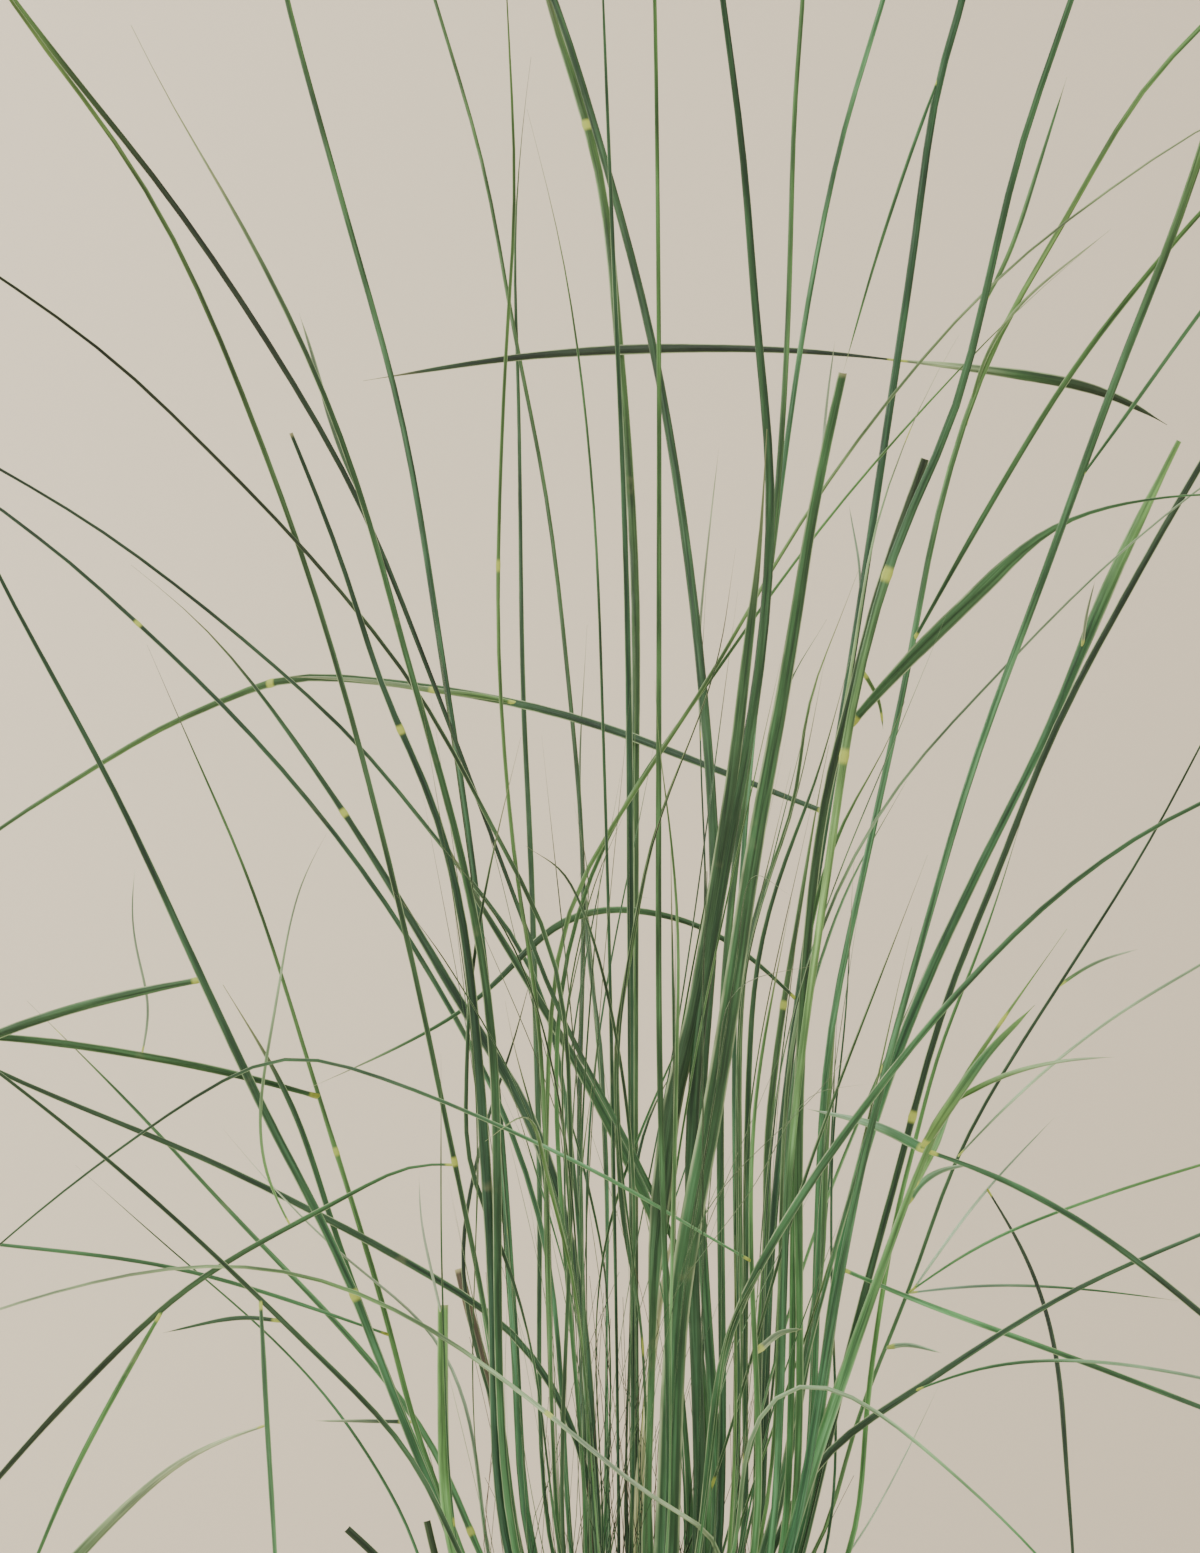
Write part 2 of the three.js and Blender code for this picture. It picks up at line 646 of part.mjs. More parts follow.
function capRing(triangles, start, sides, facesBack) {
  for (let k = 1; k < sides - 1; k += 1) {
    const pair = facesBack ? [start + k + 1, start + k] : [start + k, start + k + 1];
    triangles.push(start, ...pair);
  }
}

function solidFrom(positions, triangles) {
  const mesh = new wasm.Mesh({
    numProp: 3,
    vertProperties: new Float32Array(positions),
    triVerts: new Uint32Array(triangles),
  });
  return new wasm.Manifold(mesh);
}

function solidFromGeometry(geometry) {
  geometry.deleteAttribute("normal");
  geometry.deleteAttribute("uv");
  const merged = mergeVertices(geometry, MERGE_DISTANCE);
  return solidFrom(merged.attributes.position.array, merged.index.array);
}

function geometryFrom(solid) {
  const mesh = solid.getMesh();
  const geometry = new THREE.BufferGeometry();
  geometry.setAttribute("position", new THREE.BufferAttribute(mesh.vertProperties, 3));
  geometry.setIndex(new THREE.BufferAttribute(mesh.triVerts, 1));
  return geometry;
}

function joinSolids(solids) {
  return solids.reduce((all, next) => all.add(next));
}

// Direction of a strand at each of its points
function directions(points) {
  return points.map((point, i) => {
    const before = points[Math.max(0, i - 1)];
    const after = points[Math.min(points.length - 1, i + 1)];
    return after.clone().sub(before).normalize();
  });
}

// Share of the full width along a strand, u from 0 at the base to 1 at the end
function widthShare(kind, u) {
  const swell = BASE_WIDTH + (1 - BASE_WIDTH) * Math.min(1, u / SWELL_END);
  if (kind === "plume") {
    return 1 - (1 - STEM_END_WIDTH) * u;
  }
  if (kind === "cut") {
    return swell * (1 - (1 - CUT_END_WIDTH) * u);
  }
  return swell * Math.min(1, TIP_WIDTH + TIP_TAPER * (1 - u));
}

function strandSolid(strand) {
  const { points, kind } = strand;
  const along = [0];
  for (let i = 1; i < points.length; i += 1) {
    along.push(along[i - 1] + points[i].distanceTo(points[i - 1]));
  }
  const tangents = directions(points);
  const rings = points.map((point, i) => {
    const u = along[i] / along[points.length - 1];
    if (kind === "leaf" && i === points.length - 1) {
      return [point];
    }
    const side = strand.facing.clone().addScaledVector(tangents[i], -strand.facing.dot(tangents[i]));
    side.normalize().applyAxisAngle(tangents[i], strand.roll + ROLL_TWIST * u);
    const normal = tangents[i].clone().cross(side);
    const width = strand.width * widthShare(kind, u);
    return kind === "plume" ? stemRing(point, side, normal, width) : bladeRing(point, side, normal, width);
  });
  return ringSolid(rings);
}

function bladeRing(point, side, normal, width) {
  const [least, most] = BLADE_THICKNESS;
  const thickness = Math.min(most, Math.max(least, width * BLADE_THICKNESS_RATIO));
  const half = Math.max(width, least) / 2;
  return [
    point.clone().addScaledVector(side, half).addScaledVector(normal, -thickness / 3),
    point.clone().addScaledVector(normal, (thickness * 2) / 3),
    point.clone().addScaledVector(side, -half).addScaledVector(normal, -thickness / 3),
  ];
}

function stemRing(point, side, normal, width) {
  const half = width / 2;
  return [
    point.clone().addScaledVector(side, half),
    point.clone().addScaledVector(normal, half),
    point.clone().addScaledVector(side, -half),
    point.clone().addScaledVector(normal, -half),
  ];
}

// Upright round bar between two points
function barSolid(bottom, top, radius, sides) {
  const ring = (point) =>
    Array.from({ length: sides }, (_, k) => {
      const angle = (2 * Math.PI * k) / sides;
      const out = new THREE.Vector3(Math.cos(angle), Math.sin(angle), 0);
      return point.clone().addScaledVector(out, radius);
    });
  return ringSolid([ring(bottom), ring(top)]);
}

function tillerSolid(tiller) {
  const stub = barSolid(tiller.stub[0], tiller.stub[1], STUB_RADIUS, STUB_SIDES);
  return joinSolids([stub, ...tiller.strands.map(strandSolid)]);
}

// Nodding axis of a plume, just clear of its stem's end
function layAxis(stem, name) {
  const last = stem.points.length - 1;
  const heading = stem.points[last].clone().sub(stem.points[last - 1]).normalize();
  const points = [stem.points[last].clone().addScaledVector(heading, SEAT_GAP)];
  const step = heading.clone();
  for (let i = 1; i <= PLUME_SEGMENTS; i += 1) {
    points.push(points[i - 1].clone().addScaledVector(step, PLUME_LENGTH / PLUME_SEGMENTS));
    step.addScaledVector(new THREE.Vector3(heading.x, heading.y, 0), PLUME_NOD).normalize();
  }
  addPlaced(name, points, AXIS_WIDTH / 2);
  return { name, points, branches: [] };
}

// Airy plumes: all the axes first, then thin branches with a spikelet at the end of each
function layPlumes(draw, tillers) {
  const plumes = [];
  for (const tiller of tillers) {
    const stem = tiller.strands.find(({ kind }) => kind === "plume");
    if (stem) {
      plumes.push(layAxis(stem, tiller.name.replace("tiller", "plume")));
    }
  }
  for (let index = 0; index < BRANCHES; index += 1) {
    for (const spray of plumes) {
      placeBranch(draw, spray, index);
    }
  }
  return plumes;
}

function placeBranch(draw, spray, index) {
  const u = BRANCH_FROM + (BRANCH_SPAN * (index + 0.5)) / BRANCHES;
  const place = u * PLUME_SEGMENTS;
  const first = Math.floor(place);
  const base = spray.points[first].clone().lerp(spray.points[first + 1], place - first);
  const along = spray.points[first + 1].clone().sub(spray.points[first]).normalize();
  const length = BRANCH_LENGTH * (1 - BRANCH_SHORTENING * u);
  for (let tries = 0; tries < DRAW_TRIES; tries += 1) {
    const turn = GOLDEN_TURN * index + between(draw, BRANCH_TURN);
    const open = between(draw, BRANCH_OPENING);
    const side = FRONT.clone().addScaledVector(along, -FRONT.dot(along)).normalize();
    side.applyAxisAngle(along, turn);
    const out = along.clone().multiplyScalar(Math.cos(open)).addScaledVector(side, Math.sin(open));
    const points = [0, SPIKELET_PLACE, 1].map((share) => base.clone().addScaledVector(out, length * share));
    if (isClear(spray.name, points, SPIKELET_WIDTH / 2)) {
      addPlaced(spray.name, points, SPIKELET_WIDTH / 2);
      spray.branches.push(points);
      return;
    }
  }
}

function plumeSolid({ points, branches }) {
  const tangents = directions(points);
  const rings = points.map((point, i) => {
    const side = FRONT.clone().addScaledVector(tangents[i], -FRONT.dot(tangents[i])).normalize();
    const normal = tangents[i].clone().cross(side);
    const width = AXIS_WIDTH * (1 - (AXIS_TAPER * i) / PLUME_SEGMENTS);
    return i === PLUME_SEGMENTS ? [point] : stemRing(point, side, normal, width);
  });
  return joinSolids([ringSolid(rings), ...branches.map(branchSolid)]);
}

function branchSolid([base, swell, tip]) {
  const along = tip.clone().sub(base).normalize();
  const side = UP.clone().addScaledVector(along, -UP.dot(along)).normalize();
  const normal = along.clone().cross(side);
  const ring = (centre, width) =>
    [0, 1, 2].map((k) => {
      const angle = (2 * Math.PI * k) / 3;
      const offset = side.clone().multiplyScalar((Math.cos(angle) * width) / 2);
      return centre.clone().add(offset.addScaledVector(normal, (Math.sin(angle) * width) / 2));
    });
  return ringSolid([ring(base, BRANCH_WIDTH), ring(swell, SPIKELET_WIDTH), [tip]]);
}

// Turned solid from [radius, height] points that start and end on the axis
function turnedSolid(profile) {
  const points = profile.map(([radius, height]) => new THREE.Vector2(radius, height));
  const geometry = new THREE.LatheGeometry(points, POT_SIDES);
  geometry.rotateX(Math.PI / 2);
  return solidFromGeometry(geometry);
}

function potInnerRadius(height) {
  const share = height / POT_HEIGHT;
  return POT_FOOT_RADIUS + (POT_TOP_RADIUS - RIM_STEP - POT_FOOT_RADIUS) * share - POT_WALL;
}

function potSolid() {
  const rimBottom = POT_HEIGHT - RIM_HEIGHT;
  return turnedSolid([
    [0, 0],
    [POT_FOOT_RADIUS - FOOT_BEVEL, 0],
    [POT_FOOT_RADIUS, FOOT_BEVEL],
    [potInnerRadius(rimBottom) + POT_WALL, rimBottom],
    [POT_TOP_RADIUS, rimBottom + RIM_BEVEL],
    [POT_TOP_RADIUS, POT_HEIGHT - RIM_BEVEL],
    [POT_TOP_RADIUS - RIM_BEVEL, POT_HEIGHT],
    [potInnerRadius(POT_HEIGHT) + RIM_BEVEL, POT_HEIGHT],
    [potInnerRadius(POT_HEIGHT), POT_HEIGHT - RIM_BEVEL],
    [potInnerRadius(POT_WALL), POT_WALL],
    [0, POT_WALL],
  ]);
}

function soilSolid(tillers) {
  const floor = POT_WALL + SEAT_GAP;
  const edge = SOIL_LEVEL - SOIL_CROWN;
  const flat = SITE_RADIUS + 2 * STUB_RADIUS;
  const body = turnedSolid([
    [0, floor],
    [potInnerRadius(floor) - SEAT_GAP, floor],
    [potInnerRadius(edge) - SEAT_GAP, edge],
    [flat + SOIL_SLOPE, SOIL_LEVEL - SOIL_CROWN / 3],
    [flat, SOIL_LEVEL],
    [0, SOIL_LEVEL],
  ]);
  const holes = tillers.map(({ stub }) => {
    const bottom = stub[0].clone().addScaledVector(UP, -SEAT_GAP);
    return barSolid(bottom, stub[1], STUB_RADIUS + HOLE_GAP, STUB_SIDES);
  });
  return body.subtract(joinSolids(holes));
}

function material(color, roughness) {
  return new THREE.MeshStandardMaterial({ color, roughness, metalness: 0 });
}

function addNode(group, name, solid, look) {
  const mesh = new THREE.Mesh(geometryFrom(solid), look);
  mesh.name = name;
  group.add(mesh);
}

const draw = makeDraw(SEED);
const tillers = layTillers(draw);
const group = new THREE.Group();
addNode(group, "pot", potSolid(), material(0x8f8a82, 0.7));
addNode(group, "soil", soilSolid(tillers), material(0x3a2c20, 0.95));
for (const tiller of tillers) {
  addNode(group, tiller.name, tillerSolid(tiller), material(0x3f6b3a, 0.5));
}
for (const spray of layPlumes(draw, tillers)) {
  addNode(group, spray.name, plumeSolid(spray), material(0xf1ece0, 0.8));
}

export default group;
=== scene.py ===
"""Looks of a potted white cloud muhly grass: leaves, stems, plumes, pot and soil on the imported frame."""

import math
from types import SimpleNamespace

import bmesh
import bpy
import numpy as np
from bpy.props import FloatProperty, FloatVectorProperty, IntProperty, PointerProperty
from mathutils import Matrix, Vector
from mathutils import noise as lump_noise


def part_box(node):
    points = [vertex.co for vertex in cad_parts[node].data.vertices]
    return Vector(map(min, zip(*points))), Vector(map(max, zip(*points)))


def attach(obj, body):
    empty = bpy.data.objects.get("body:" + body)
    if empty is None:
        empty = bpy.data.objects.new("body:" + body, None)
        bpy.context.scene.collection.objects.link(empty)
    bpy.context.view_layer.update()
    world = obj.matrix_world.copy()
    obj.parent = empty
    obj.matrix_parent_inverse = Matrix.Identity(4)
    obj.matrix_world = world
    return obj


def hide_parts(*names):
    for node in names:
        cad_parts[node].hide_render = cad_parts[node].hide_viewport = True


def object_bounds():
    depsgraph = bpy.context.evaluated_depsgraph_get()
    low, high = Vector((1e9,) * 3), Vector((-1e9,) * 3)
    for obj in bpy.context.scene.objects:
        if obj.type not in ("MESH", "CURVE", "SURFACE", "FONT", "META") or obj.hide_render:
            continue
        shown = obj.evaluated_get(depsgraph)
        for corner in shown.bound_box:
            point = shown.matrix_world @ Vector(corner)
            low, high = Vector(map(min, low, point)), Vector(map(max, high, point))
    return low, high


bl_info = {
    "name": "Potted muhly grass",
    "version": (1, 0, 0),
    "blender": (4, 5, 0),
    "location": "3D View > Sidebar > Muhly grass",
    "description": "Dresses the frame of a potted ornamental grass with leaves, plumes, pot and soil",
    "category": "Object",
}

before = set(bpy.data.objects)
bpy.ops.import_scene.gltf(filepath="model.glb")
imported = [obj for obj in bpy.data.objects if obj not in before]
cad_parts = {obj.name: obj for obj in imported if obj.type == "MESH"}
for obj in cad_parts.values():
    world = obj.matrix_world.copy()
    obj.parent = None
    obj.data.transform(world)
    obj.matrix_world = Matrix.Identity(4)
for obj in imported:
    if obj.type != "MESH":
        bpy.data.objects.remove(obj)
CAD_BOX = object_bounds()

MM = 0.001

# Pot and soil, in millimetres as in the part's source
POT_HEIGHT = 210
POT_TOP_RADIUS = 108
POT_FOOT_RADIUS = 85
POT_WALL = 5
RIM_HEIGHT = 20
RIM_STEP = 4
RIM_BEVEL = 2
FOOT_BEVEL = 3
SOIL_LEVEL = 190
SOIL_CROWN = 3
SEAT_GAP = 0.3

# Crown of the clump
SITE_PITCH = 8.4
SITE_RADIUS = 34
RING_GRAIN = 0.01
STUB_RADIUS = 2.9
STUB_DEPTH = 28
STUB_RISE = 14
STRAND_OFFSET = 1.8
STRAND_SEAT = 2
GOLDEN_TURN = 2.4

# Front view that the routes were read in
EYE_DISTANCE = 1600
EYE_X = -9
EYE_Z = 459
ROOTED_BELOW = 285
RISE_HEIGHT = 20
RISE_SHARE = 0.16
FORK_REACH = 4
STILL_WIDE = 154
RUN_OUT = 52
RUN_OUT_DROOP = 0.35

# Depth and clearance of the strands
DEPTH_LEAN = 0.3
ROOT_DEPTH_SPREAD = 90
ROOT_PULL = 0.5
STRAND_FAN = 0.1
FAN_STEPS = 5
SIDE_LEAN = 0.55
SIDE_LEAN_STEP = 1.9
CLEARANCE = 0.4
LEAN_STEP = 0.022
BOW_STEP = 3
BEND_RINGS = 16
ROLL_SPREAD = 0.6
ROLL_STEP = 3.7
ROLL_TWIST = 0.5
LEAST_SPREAD = 1e-9

# Widths along a strand
BASE_WIDTH = 0.55
SWELL_END = 0.15
TIP_WIDTH = 0.3
TIP_TAPER = 1.3
CUT_END_WIDTH = 0.8
STEM_END_WIDTH = 0.55

# Filler leaves
FILL_TILLERS = 9
FILL_LEAVES = 6
SIDE_FILL_LEAVES = 3
FILL_WIDTH = (0.8, 1.9)
FILL_ROLL = (-0.9, 0.9)
BEND_POWER = 1.7
UPRIGHT = SimpleNamespace(turn=(-2.5, 2.5), length=(120, 320), lean=(0.04, 0.3), bend=(0.05, 0.4), steps=3)
ARCHING = SimpleNamespace(turn=(-0.6, 0.6), length=(230, 420), lean=(0.12, 0.32), bend=(0.8, 1.7), steps=6)
ARCH_FROM = 9
ARCH_SHARE = 0.75
DRAW_TRIES = 24
CORE_CENTRE = 4
CORE_HALF_WIDTH = 48
CORE_FLARE = 0.07

# Plumes
PLUME_LENGTH = 275
PLUME_SEGMENTS = 5
PLUME_NOD = 0.1
AXIS_WIDTH = 1.6
BRANCHES = 13
BRANCH_FROM = 0.1
BRANCH_SPAN = 0.86
BRANCH_LENGTH = 88
BRANCH_SHORTENING = 0.55
BRANCH_TURN = (-0.8, 0.8)
BRANCH_OPENING = (0.5, 0.85)
SPIKELET_WIDTH = 1.6
SPIKELET_PLACE = 0.92

SEED = 20417
FRONT = np.array([0.0, 1.0, 0.0])
UP = np.array([0.0, 0.0, 1.0])


def strand_maker(kind):
    """A short way to write one strand of the lists below."""
    return lambda width, tones, route, fullness=1.0: SimpleNamespace(
        kind=kind, width=width, tones=tones, route=route, fullness=fullness
    )


leaf = strand_maker("leaf")
cut = strand_maker("cut")
plume = strand_maker("plume")

# Routes in the front view, [x, z] in millimetres from the base up, one list for each tiller,
# as in the part's source, with the tones of each strand from its base to its tip and, where
# it swells or thins, how full it looks along its way
TILLERS = [
    # Far left culm with its level side leaf, a blade beside it and a clipped stub
    [leaf(1.8, "green deep", [[-45, 266], [-58, 298], [-74, 339], [-93, 376], [-108, 408], [-125, 445],
       [-134, 463], [-159, 509], [-174, 540]], [0.85, 1.15, 0.7]),
     leaf(1.7, "green", [[-109, 408], [-130, 404], [-159, 395], [-181, 384]], 1.25),
     leaf(1.4, "green", [[-49, 278], [-62, 310], [-74, 342], [-86, 378], [-103, 407]], [0.8, 0.7, 2.6]),
     cut(1.6, "dark", [[-60, 260], [-72, 271]], 1.3)],
    # Thin left culm with its three side leaves
    [leaf(1.1, "green lime lime deep", [[-43, 265], [-54, 293], [-63, 327], [-79, 379], [-96, 432],
       [-112, 469], [-122, 492]], 1.2),
     leaf(1.25, "green deep", [[-79, 379], [-101, 385], [-140, 392], [-159, 394], [-181, 394]], 1.4),
     leaf(0.8, "green", [[-62, 319], [-92, 330], [-118, 337], [-159, 342], [-186, 344]], 1.2),
     leaf(0.9, "deep pale", [[-58, 297], [-69, 298], [-80, 298]])],
    # Low left diagonal with a hanging leaf
    [leaf(1.1, "deep", [[-44, 265], [-57, 291], [-82, 317], [-111, 345], [-135, 366], [-159, 385],
       [-184, 402]], 1.1),
     leaf(0.9, "green", [[-94, 328], [-93, 317], [-92, 297], [-90, 266], [-89, 243], [-88, 223]], 1.3),
     leaf(2, "pale green green lime", [[-92, 297], [-111, 290], [-132, 272], [-146, 257], [-164, 233]],
       [0.4, 1.5, 1.8]),
     leaf(0.9, "deep", [[-88, 323], [-98, 324], [-118, 320]], 1.1)],
    # Two thin low left diagonals
    [leaf(1.1, "green", [[-39, 265], [-50, 291], [-67, 314], [-101, 350], [-125, 376], [-152, 403]], 1.4),
     leaf(0.7, "green", [[-51, 253], [-54, 266], [-73, 299], [-92, 320], [-114, 339], [-140, 362]], 1.1)],
    # Clipped blades at the left foot
    [cut(2.6, "green lime", [[-46, 266], [-48, 298], [-48, 327]], 1.1),
     cut(1.9, "dark", [[-48, 256], [-52, 273]], 1.05),
     leaf(0.9, "deep pale", [[-37, 265], [-41, 298], [-50, 320], [-73, 339], [-93, 359], [-103, 371]])],
    # Left culm that forks high up, with an arching side leaf
    [leaf(1.1, "green green green lime bright", [[-29, 265], [-35, 312], [-46, 367], [-58, 423], [-74, 485],
       [-88, 528], [-112, 587], [-128, 615], [-157, 654], [-166, 669]], [0.85, 1.15, 1.9]),
     leaf(1.3, "green dark dark dark", [[-45, 362], [-51, 364], [-76, 352], [-111, 332], [-135, 310],
       [-159, 284], [-179, 258]], [0.7, 1.2, 1.2]),
     leaf(0.9, "lime green", [[-119, 326], [-130, 305], [-144, 278], [-151, 260], [-160, 241]], 1.4)],
    # Left plume stem with a clipped blade
    [plume(1.9, "green green green lime", [[-26, 265], [-30, 317], [-34, 374], [-40, 432], [-48, 487],
       [-58, 547], [-73, 602], [-87, 653], [-93, 681]], [1.5, 1.1, 1.3]),
     cut(2.6, "brown", [[-31, 265], [-35, 303], [-41, 323], [-44, 336]])],
    # Upright blades left of the middle
    [leaf(1.4, "green deep green green pale", [[-30, 265], [-36, 398], [-44, 442], [-56, 485], [-68, 528],
       [-79, 558], [-96, 593], [-118, 631], [-126, 647]], [1.2, 1.4, 1.3, 1.8]),
     cut(1.6, "deep", [[-32, 265], [-36, 341], [-43, 423], [-51, 454], [-62, 478], [-74, 515], [-86, 545]],
       [1.2, 1.6, 0.6])],
    # Long blades to the left
    [leaf(1.6, "deep deep green", [[-9, 265], [-15, 336], [-27, 376], [-41, 398], [-60, 430], [-74, 452],
       [-96, 483], [-109, 498], [-126, 512]], [1, 1.9, 1]),
     leaf(1.5, "deep deep green", [[-9, 265], [-14, 293], [-30, 320], [-54, 336], [-76, 348], [-104, 362],
       [-140, 377], [-159, 385], [-186, 398]], [1.1, 1.15, 1.1])],
    # Arching blades to the left
    [leaf(0.9, "green green deep deep", [[-12, 265], [-15, 358], [-25, 410], [-47, 440], [-69, 467],
       [-87, 484], [-111, 504], [-134, 521], [-159, 536], [-191, 552]], [1.1, 1.2, 1.5]),
     leaf(1.1, "green green deep deep", [[-16, 265], [-22, 341], [-34, 378], [-45, 399], [-62, 427],
       [-84, 456], [-104, 478], [-125, 498], [-144, 515], [-159, 526], [-166, 532]], [1.1, 1.2, 1.7])],
    # Dark thin blade to the left and an upright one
    [leaf(0.9, "deep green dark dark", [[-18, 265], [-16, 366], [-20, 414], [-35, 445], [-54, 480],
       [-81, 514], [-109, 543], [-130, 563], [-159, 584], [-186, 600]], [1.1, 1.1, 1.6]),
     leaf(0.9, "green lime lime", [[-19, 265], [-24, 398], [-30, 437], [-34, 487], [-34, 523], [-32, 570],
       [-30, 603], [-32, 653], [-34, 693]], [1.1, 1, 1.8])],
    # Plume stem with an upright blade
    [plume(1.2, "deep lime", [[-11, 265], [-14, 366], [-13, 437], [-17, 486], [-22, 528], [-30, 569],
       [-38, 612], [-50, 653], [-59, 683]], [1.1, 1.2, 1.3]),
     leaf(1, "green", [[-21, 265], [-24, 366], [-26, 437], [-28, 480], [-29, 548], [-30, 596], [-27, 632],
       [-26, 639]], [0.8, 1.5, 1.6])],
    # Two thin blades that sweep from the middle to the right
    [leaf(1, "green lime pale", [[-19, 265], [-22, 378], [-17, 425], [-1, 454], [17, 481], [41, 522],
       [64, 554], [91, 584], [126, 611], [151, 626]]),
     leaf(1, "green lime", [[-12, 265], [-19, 403], [-6, 446], [18, 482], [47, 522], [71, 550], [98, 578],
       [119, 596]])],
    # Thin upright blades in the middle
    [leaf(0.8, "deep green lime", [[-4, 265], [-6, 398], [-8, 472], [-10, 523], [-14, 564], [-19, 594],
       [-27, 626]], [1, 1, 1.6]),
     leaf(0.9, "deep green", [[-1, 265], [-1, 378], [-2, 503], [-6, 603], [-8, 654], [-10, 711]],
       [0.8, 1.8, 1.6])],
    # Wide upright blade with a straw coloured one
    [leaf(1.5, "deep lime", [[1, 265], [0, 353], [0, 447], [0, 509], [-4, 567], [-9, 611], [-22, 654],
       [-34, 701]], [0.7, 1.3, 3.4]),
     leaf(1.8, "straw", [[0, 266], [3, 300], [6, 327], [11, 353]], 1.6)],
    # Straight plume stem in the middle
    [plume(1.1, "deep lime", [[8, 265], [6, 398], [6, 490], [6, 567], [5, 653], [4, 686]],
       [1.2, 1.5, 1.2])],
    # Thick plume stem that leans left
    [plume(1.8, "green", [[20, 265], [16, 366], [20, 432], [17, 480], [12, 523], [4, 569], [-9, 618],
       [-20, 653], [-32, 682]], [1.3, 1.7, 1.6])],
    # Long plume stem out to the upper left
    [plume(1.8, "green green green green deep deep deep dark dark lime lime", [[18, 265], [14, 331],
       [1, 362], [-18, 398], [-35, 442], [-51, 484], [-69, 528], [-92, 568], [-118, 606], [-138, 631],
       [-156, 654], [-174, 678]], [1, 0.95, 0.65, 1.1, 1.3])],
    # Blue green plume stem
    [plume(2.2, "deep green blue", [[16, 265], [14, 366], [17, 404], [24, 445], [31, 485], [34, 529],
       [30, 577], [27, 615], [22, 653], [18, 683]], [1.4, 1.6, 1])],
    # Low leaf to the far left
    [leaf(1.1, "lime pale lime pale pale", [[22, 265], [1, 281], [-27, 304], [-56, 324], [-84, 335],
       [-107, 337], [-130, 334], [-159, 326], [-184, 316]], 0.95)],
    # Widest dark blade with a clipped tip
    [cut(4.6, "deep green", [[8, 265], [11, 328], [21, 384], [30, 442], [38, 485], [45, 528], [52, 560]],
       [1.4, 1.3, 0.95, 0.5])],
    # Thin straight plume stem
    [plume(1.3, "deep lime", [[21, 265], [22, 403], [30, 478], [35, 523], [38, 567], [40, 629], [42, 653],
       [43, 684]], [1.3, 1.7, 1.4])],
    # Plume stem right of the middle
    [plume(1.6, "deep cool cool", [[25, 265], [25, 403], [31, 485], [38, 543], [44, 582], [52, 620],
       [62, 653], [70, 683]], [1, 0.7, 1.2, 1.35])],
    # Stout short blade with a long arching leaf to the left
    [leaf(2, "green lime", [[30, 265], [30, 317], [29, 338], [30, 378], [39, 428]], [1.2, 0.6, 0.8]),
     leaf(0.8, "cool green deep deep dark deep", [[29, 338], [15, 346], [-9, 360], [-48, 378], [-70, 386],
       [-86, 390], [-100, 385], [-133, 363], [-159, 342], [-186, 316]], [1.1, 1, 0.8, 0.7])],
    # Blue green plume stem with two long level leaves, a high leaf and two arching ones
    [plume(2.1, "deep blue blue", [[31, 265], [34, 341], [40, 398], [48, 450], [56, 500], [62, 540],
       [69, 586], [76, 634], [82, 653], [88, 683]], [0.8, 1.1, 1.6]),
     leaf(1.8, "dark dark dark deep", [[66, 563], [49, 565], [31, 566], [1, 566], [-29, 564], [-68, 558]],
       [0.4, 1.4, 1.2]),
     leaf(2.1, "pale green dark dark", [[66, 563], [86, 561], [119, 555], [133, 547]], [0.35, 1, 1.6, 1.6]),
     leaf(0.8, "green lime", [[76, 634], [70, 618], [60, 588], [52, 560]], 1.1),
     leaf(1.5, "deep green lime green deep", [[48, 450], [20, 461], [-9, 472], [-32, 478], [-65, 483],
       [-87, 484], [-101, 479], [-121, 470], [-134, 462], [-159, 446], [-181, 428]], [1.4, 1.2, 0.8]),
     leaf(1.2, "deep green deep cool pale", [[40, 403], [27, 416], [17, 422], [1, 426], [-17, 425],
       [-39, 403], [-62, 390], [-82, 381]], [1, 1.1, 1.5, 1.1, 0.9])],
    # Light plume stem with a thin twin and a broad side leaf
    [plume(2, "green green bright green green green", [[34, 265], [39, 366], [49, 441], [55, 480],
       [65, 516], [80, 550], [87, 577], [96, 615], [109, 653], [119, 683]], [0.8, 0.9, 1.5, 1.2]),
     leaf(0.7, "lime cool", [[87, 577], [93, 588], [101, 612], [108, 634]], 1.5),
     leaf(2.9, "green green cool cool pale", [[55, 472], [72, 492], [85, 504], [104, 522], [125, 528],
       [145, 530], [164, 528]], [1, 1.1, 1.15, 0.3, 0.2, 0.2, 0.25, 0.3])],
    # Thin blades that sweep up to the right
    [leaf(1.4, "deep green deep", [[16, 265], [23, 319], [37, 347], [54, 372], [77, 401], [106, 430],
       [132, 448], [145, 454], [174, 466]], [0.9, 1.4, 1]),
     leaf(0.8, "lime pale", [[31, 265], [41, 403], [61, 450], [92, 486], [120, 514], [145, 534],
       [159, 543]])],
    # Plume stem that leans far right
    [plume(1.7, "green cool cool bright cool", [[41, 265], [48, 389], [58, 439], [68, 485], [76, 526],
       [88, 563], [108, 599], [127, 631], [145, 650], [176, 680]], [1, 1.2, 1.2]),
     leaf(1.2, "green lime green", [[69, 493], [87, 524], [109, 560], [130, 587], [145, 604], [164, 621]],
       1.1)],
    # Right plume stem with a thin upper leaf and a low one
    [plume(2.2, "blue green cool green bright", [[39, 266], [49, 322], [57, 363], [64, 391], [72, 419],
       [85, 463], [101, 506], [120, 558], [135, 596], [144, 623], [160, 681]], [0.9, 0.9, 1.6]),
     leaf(0.9, "green", [[111, 533], [124, 551], [145, 580], [164, 602]]),
     leaf(1.1, "cool green deep deep dark dark", [[52, 336], [68, 329], [106, 315], [145, 300], [169, 290]],
       1.15)],
    # Broad pointed blade to the right
    [leaf(2.5, "deep green cool green green green bright", [[40, 265], [54, 353], [69, 399], [86, 436],
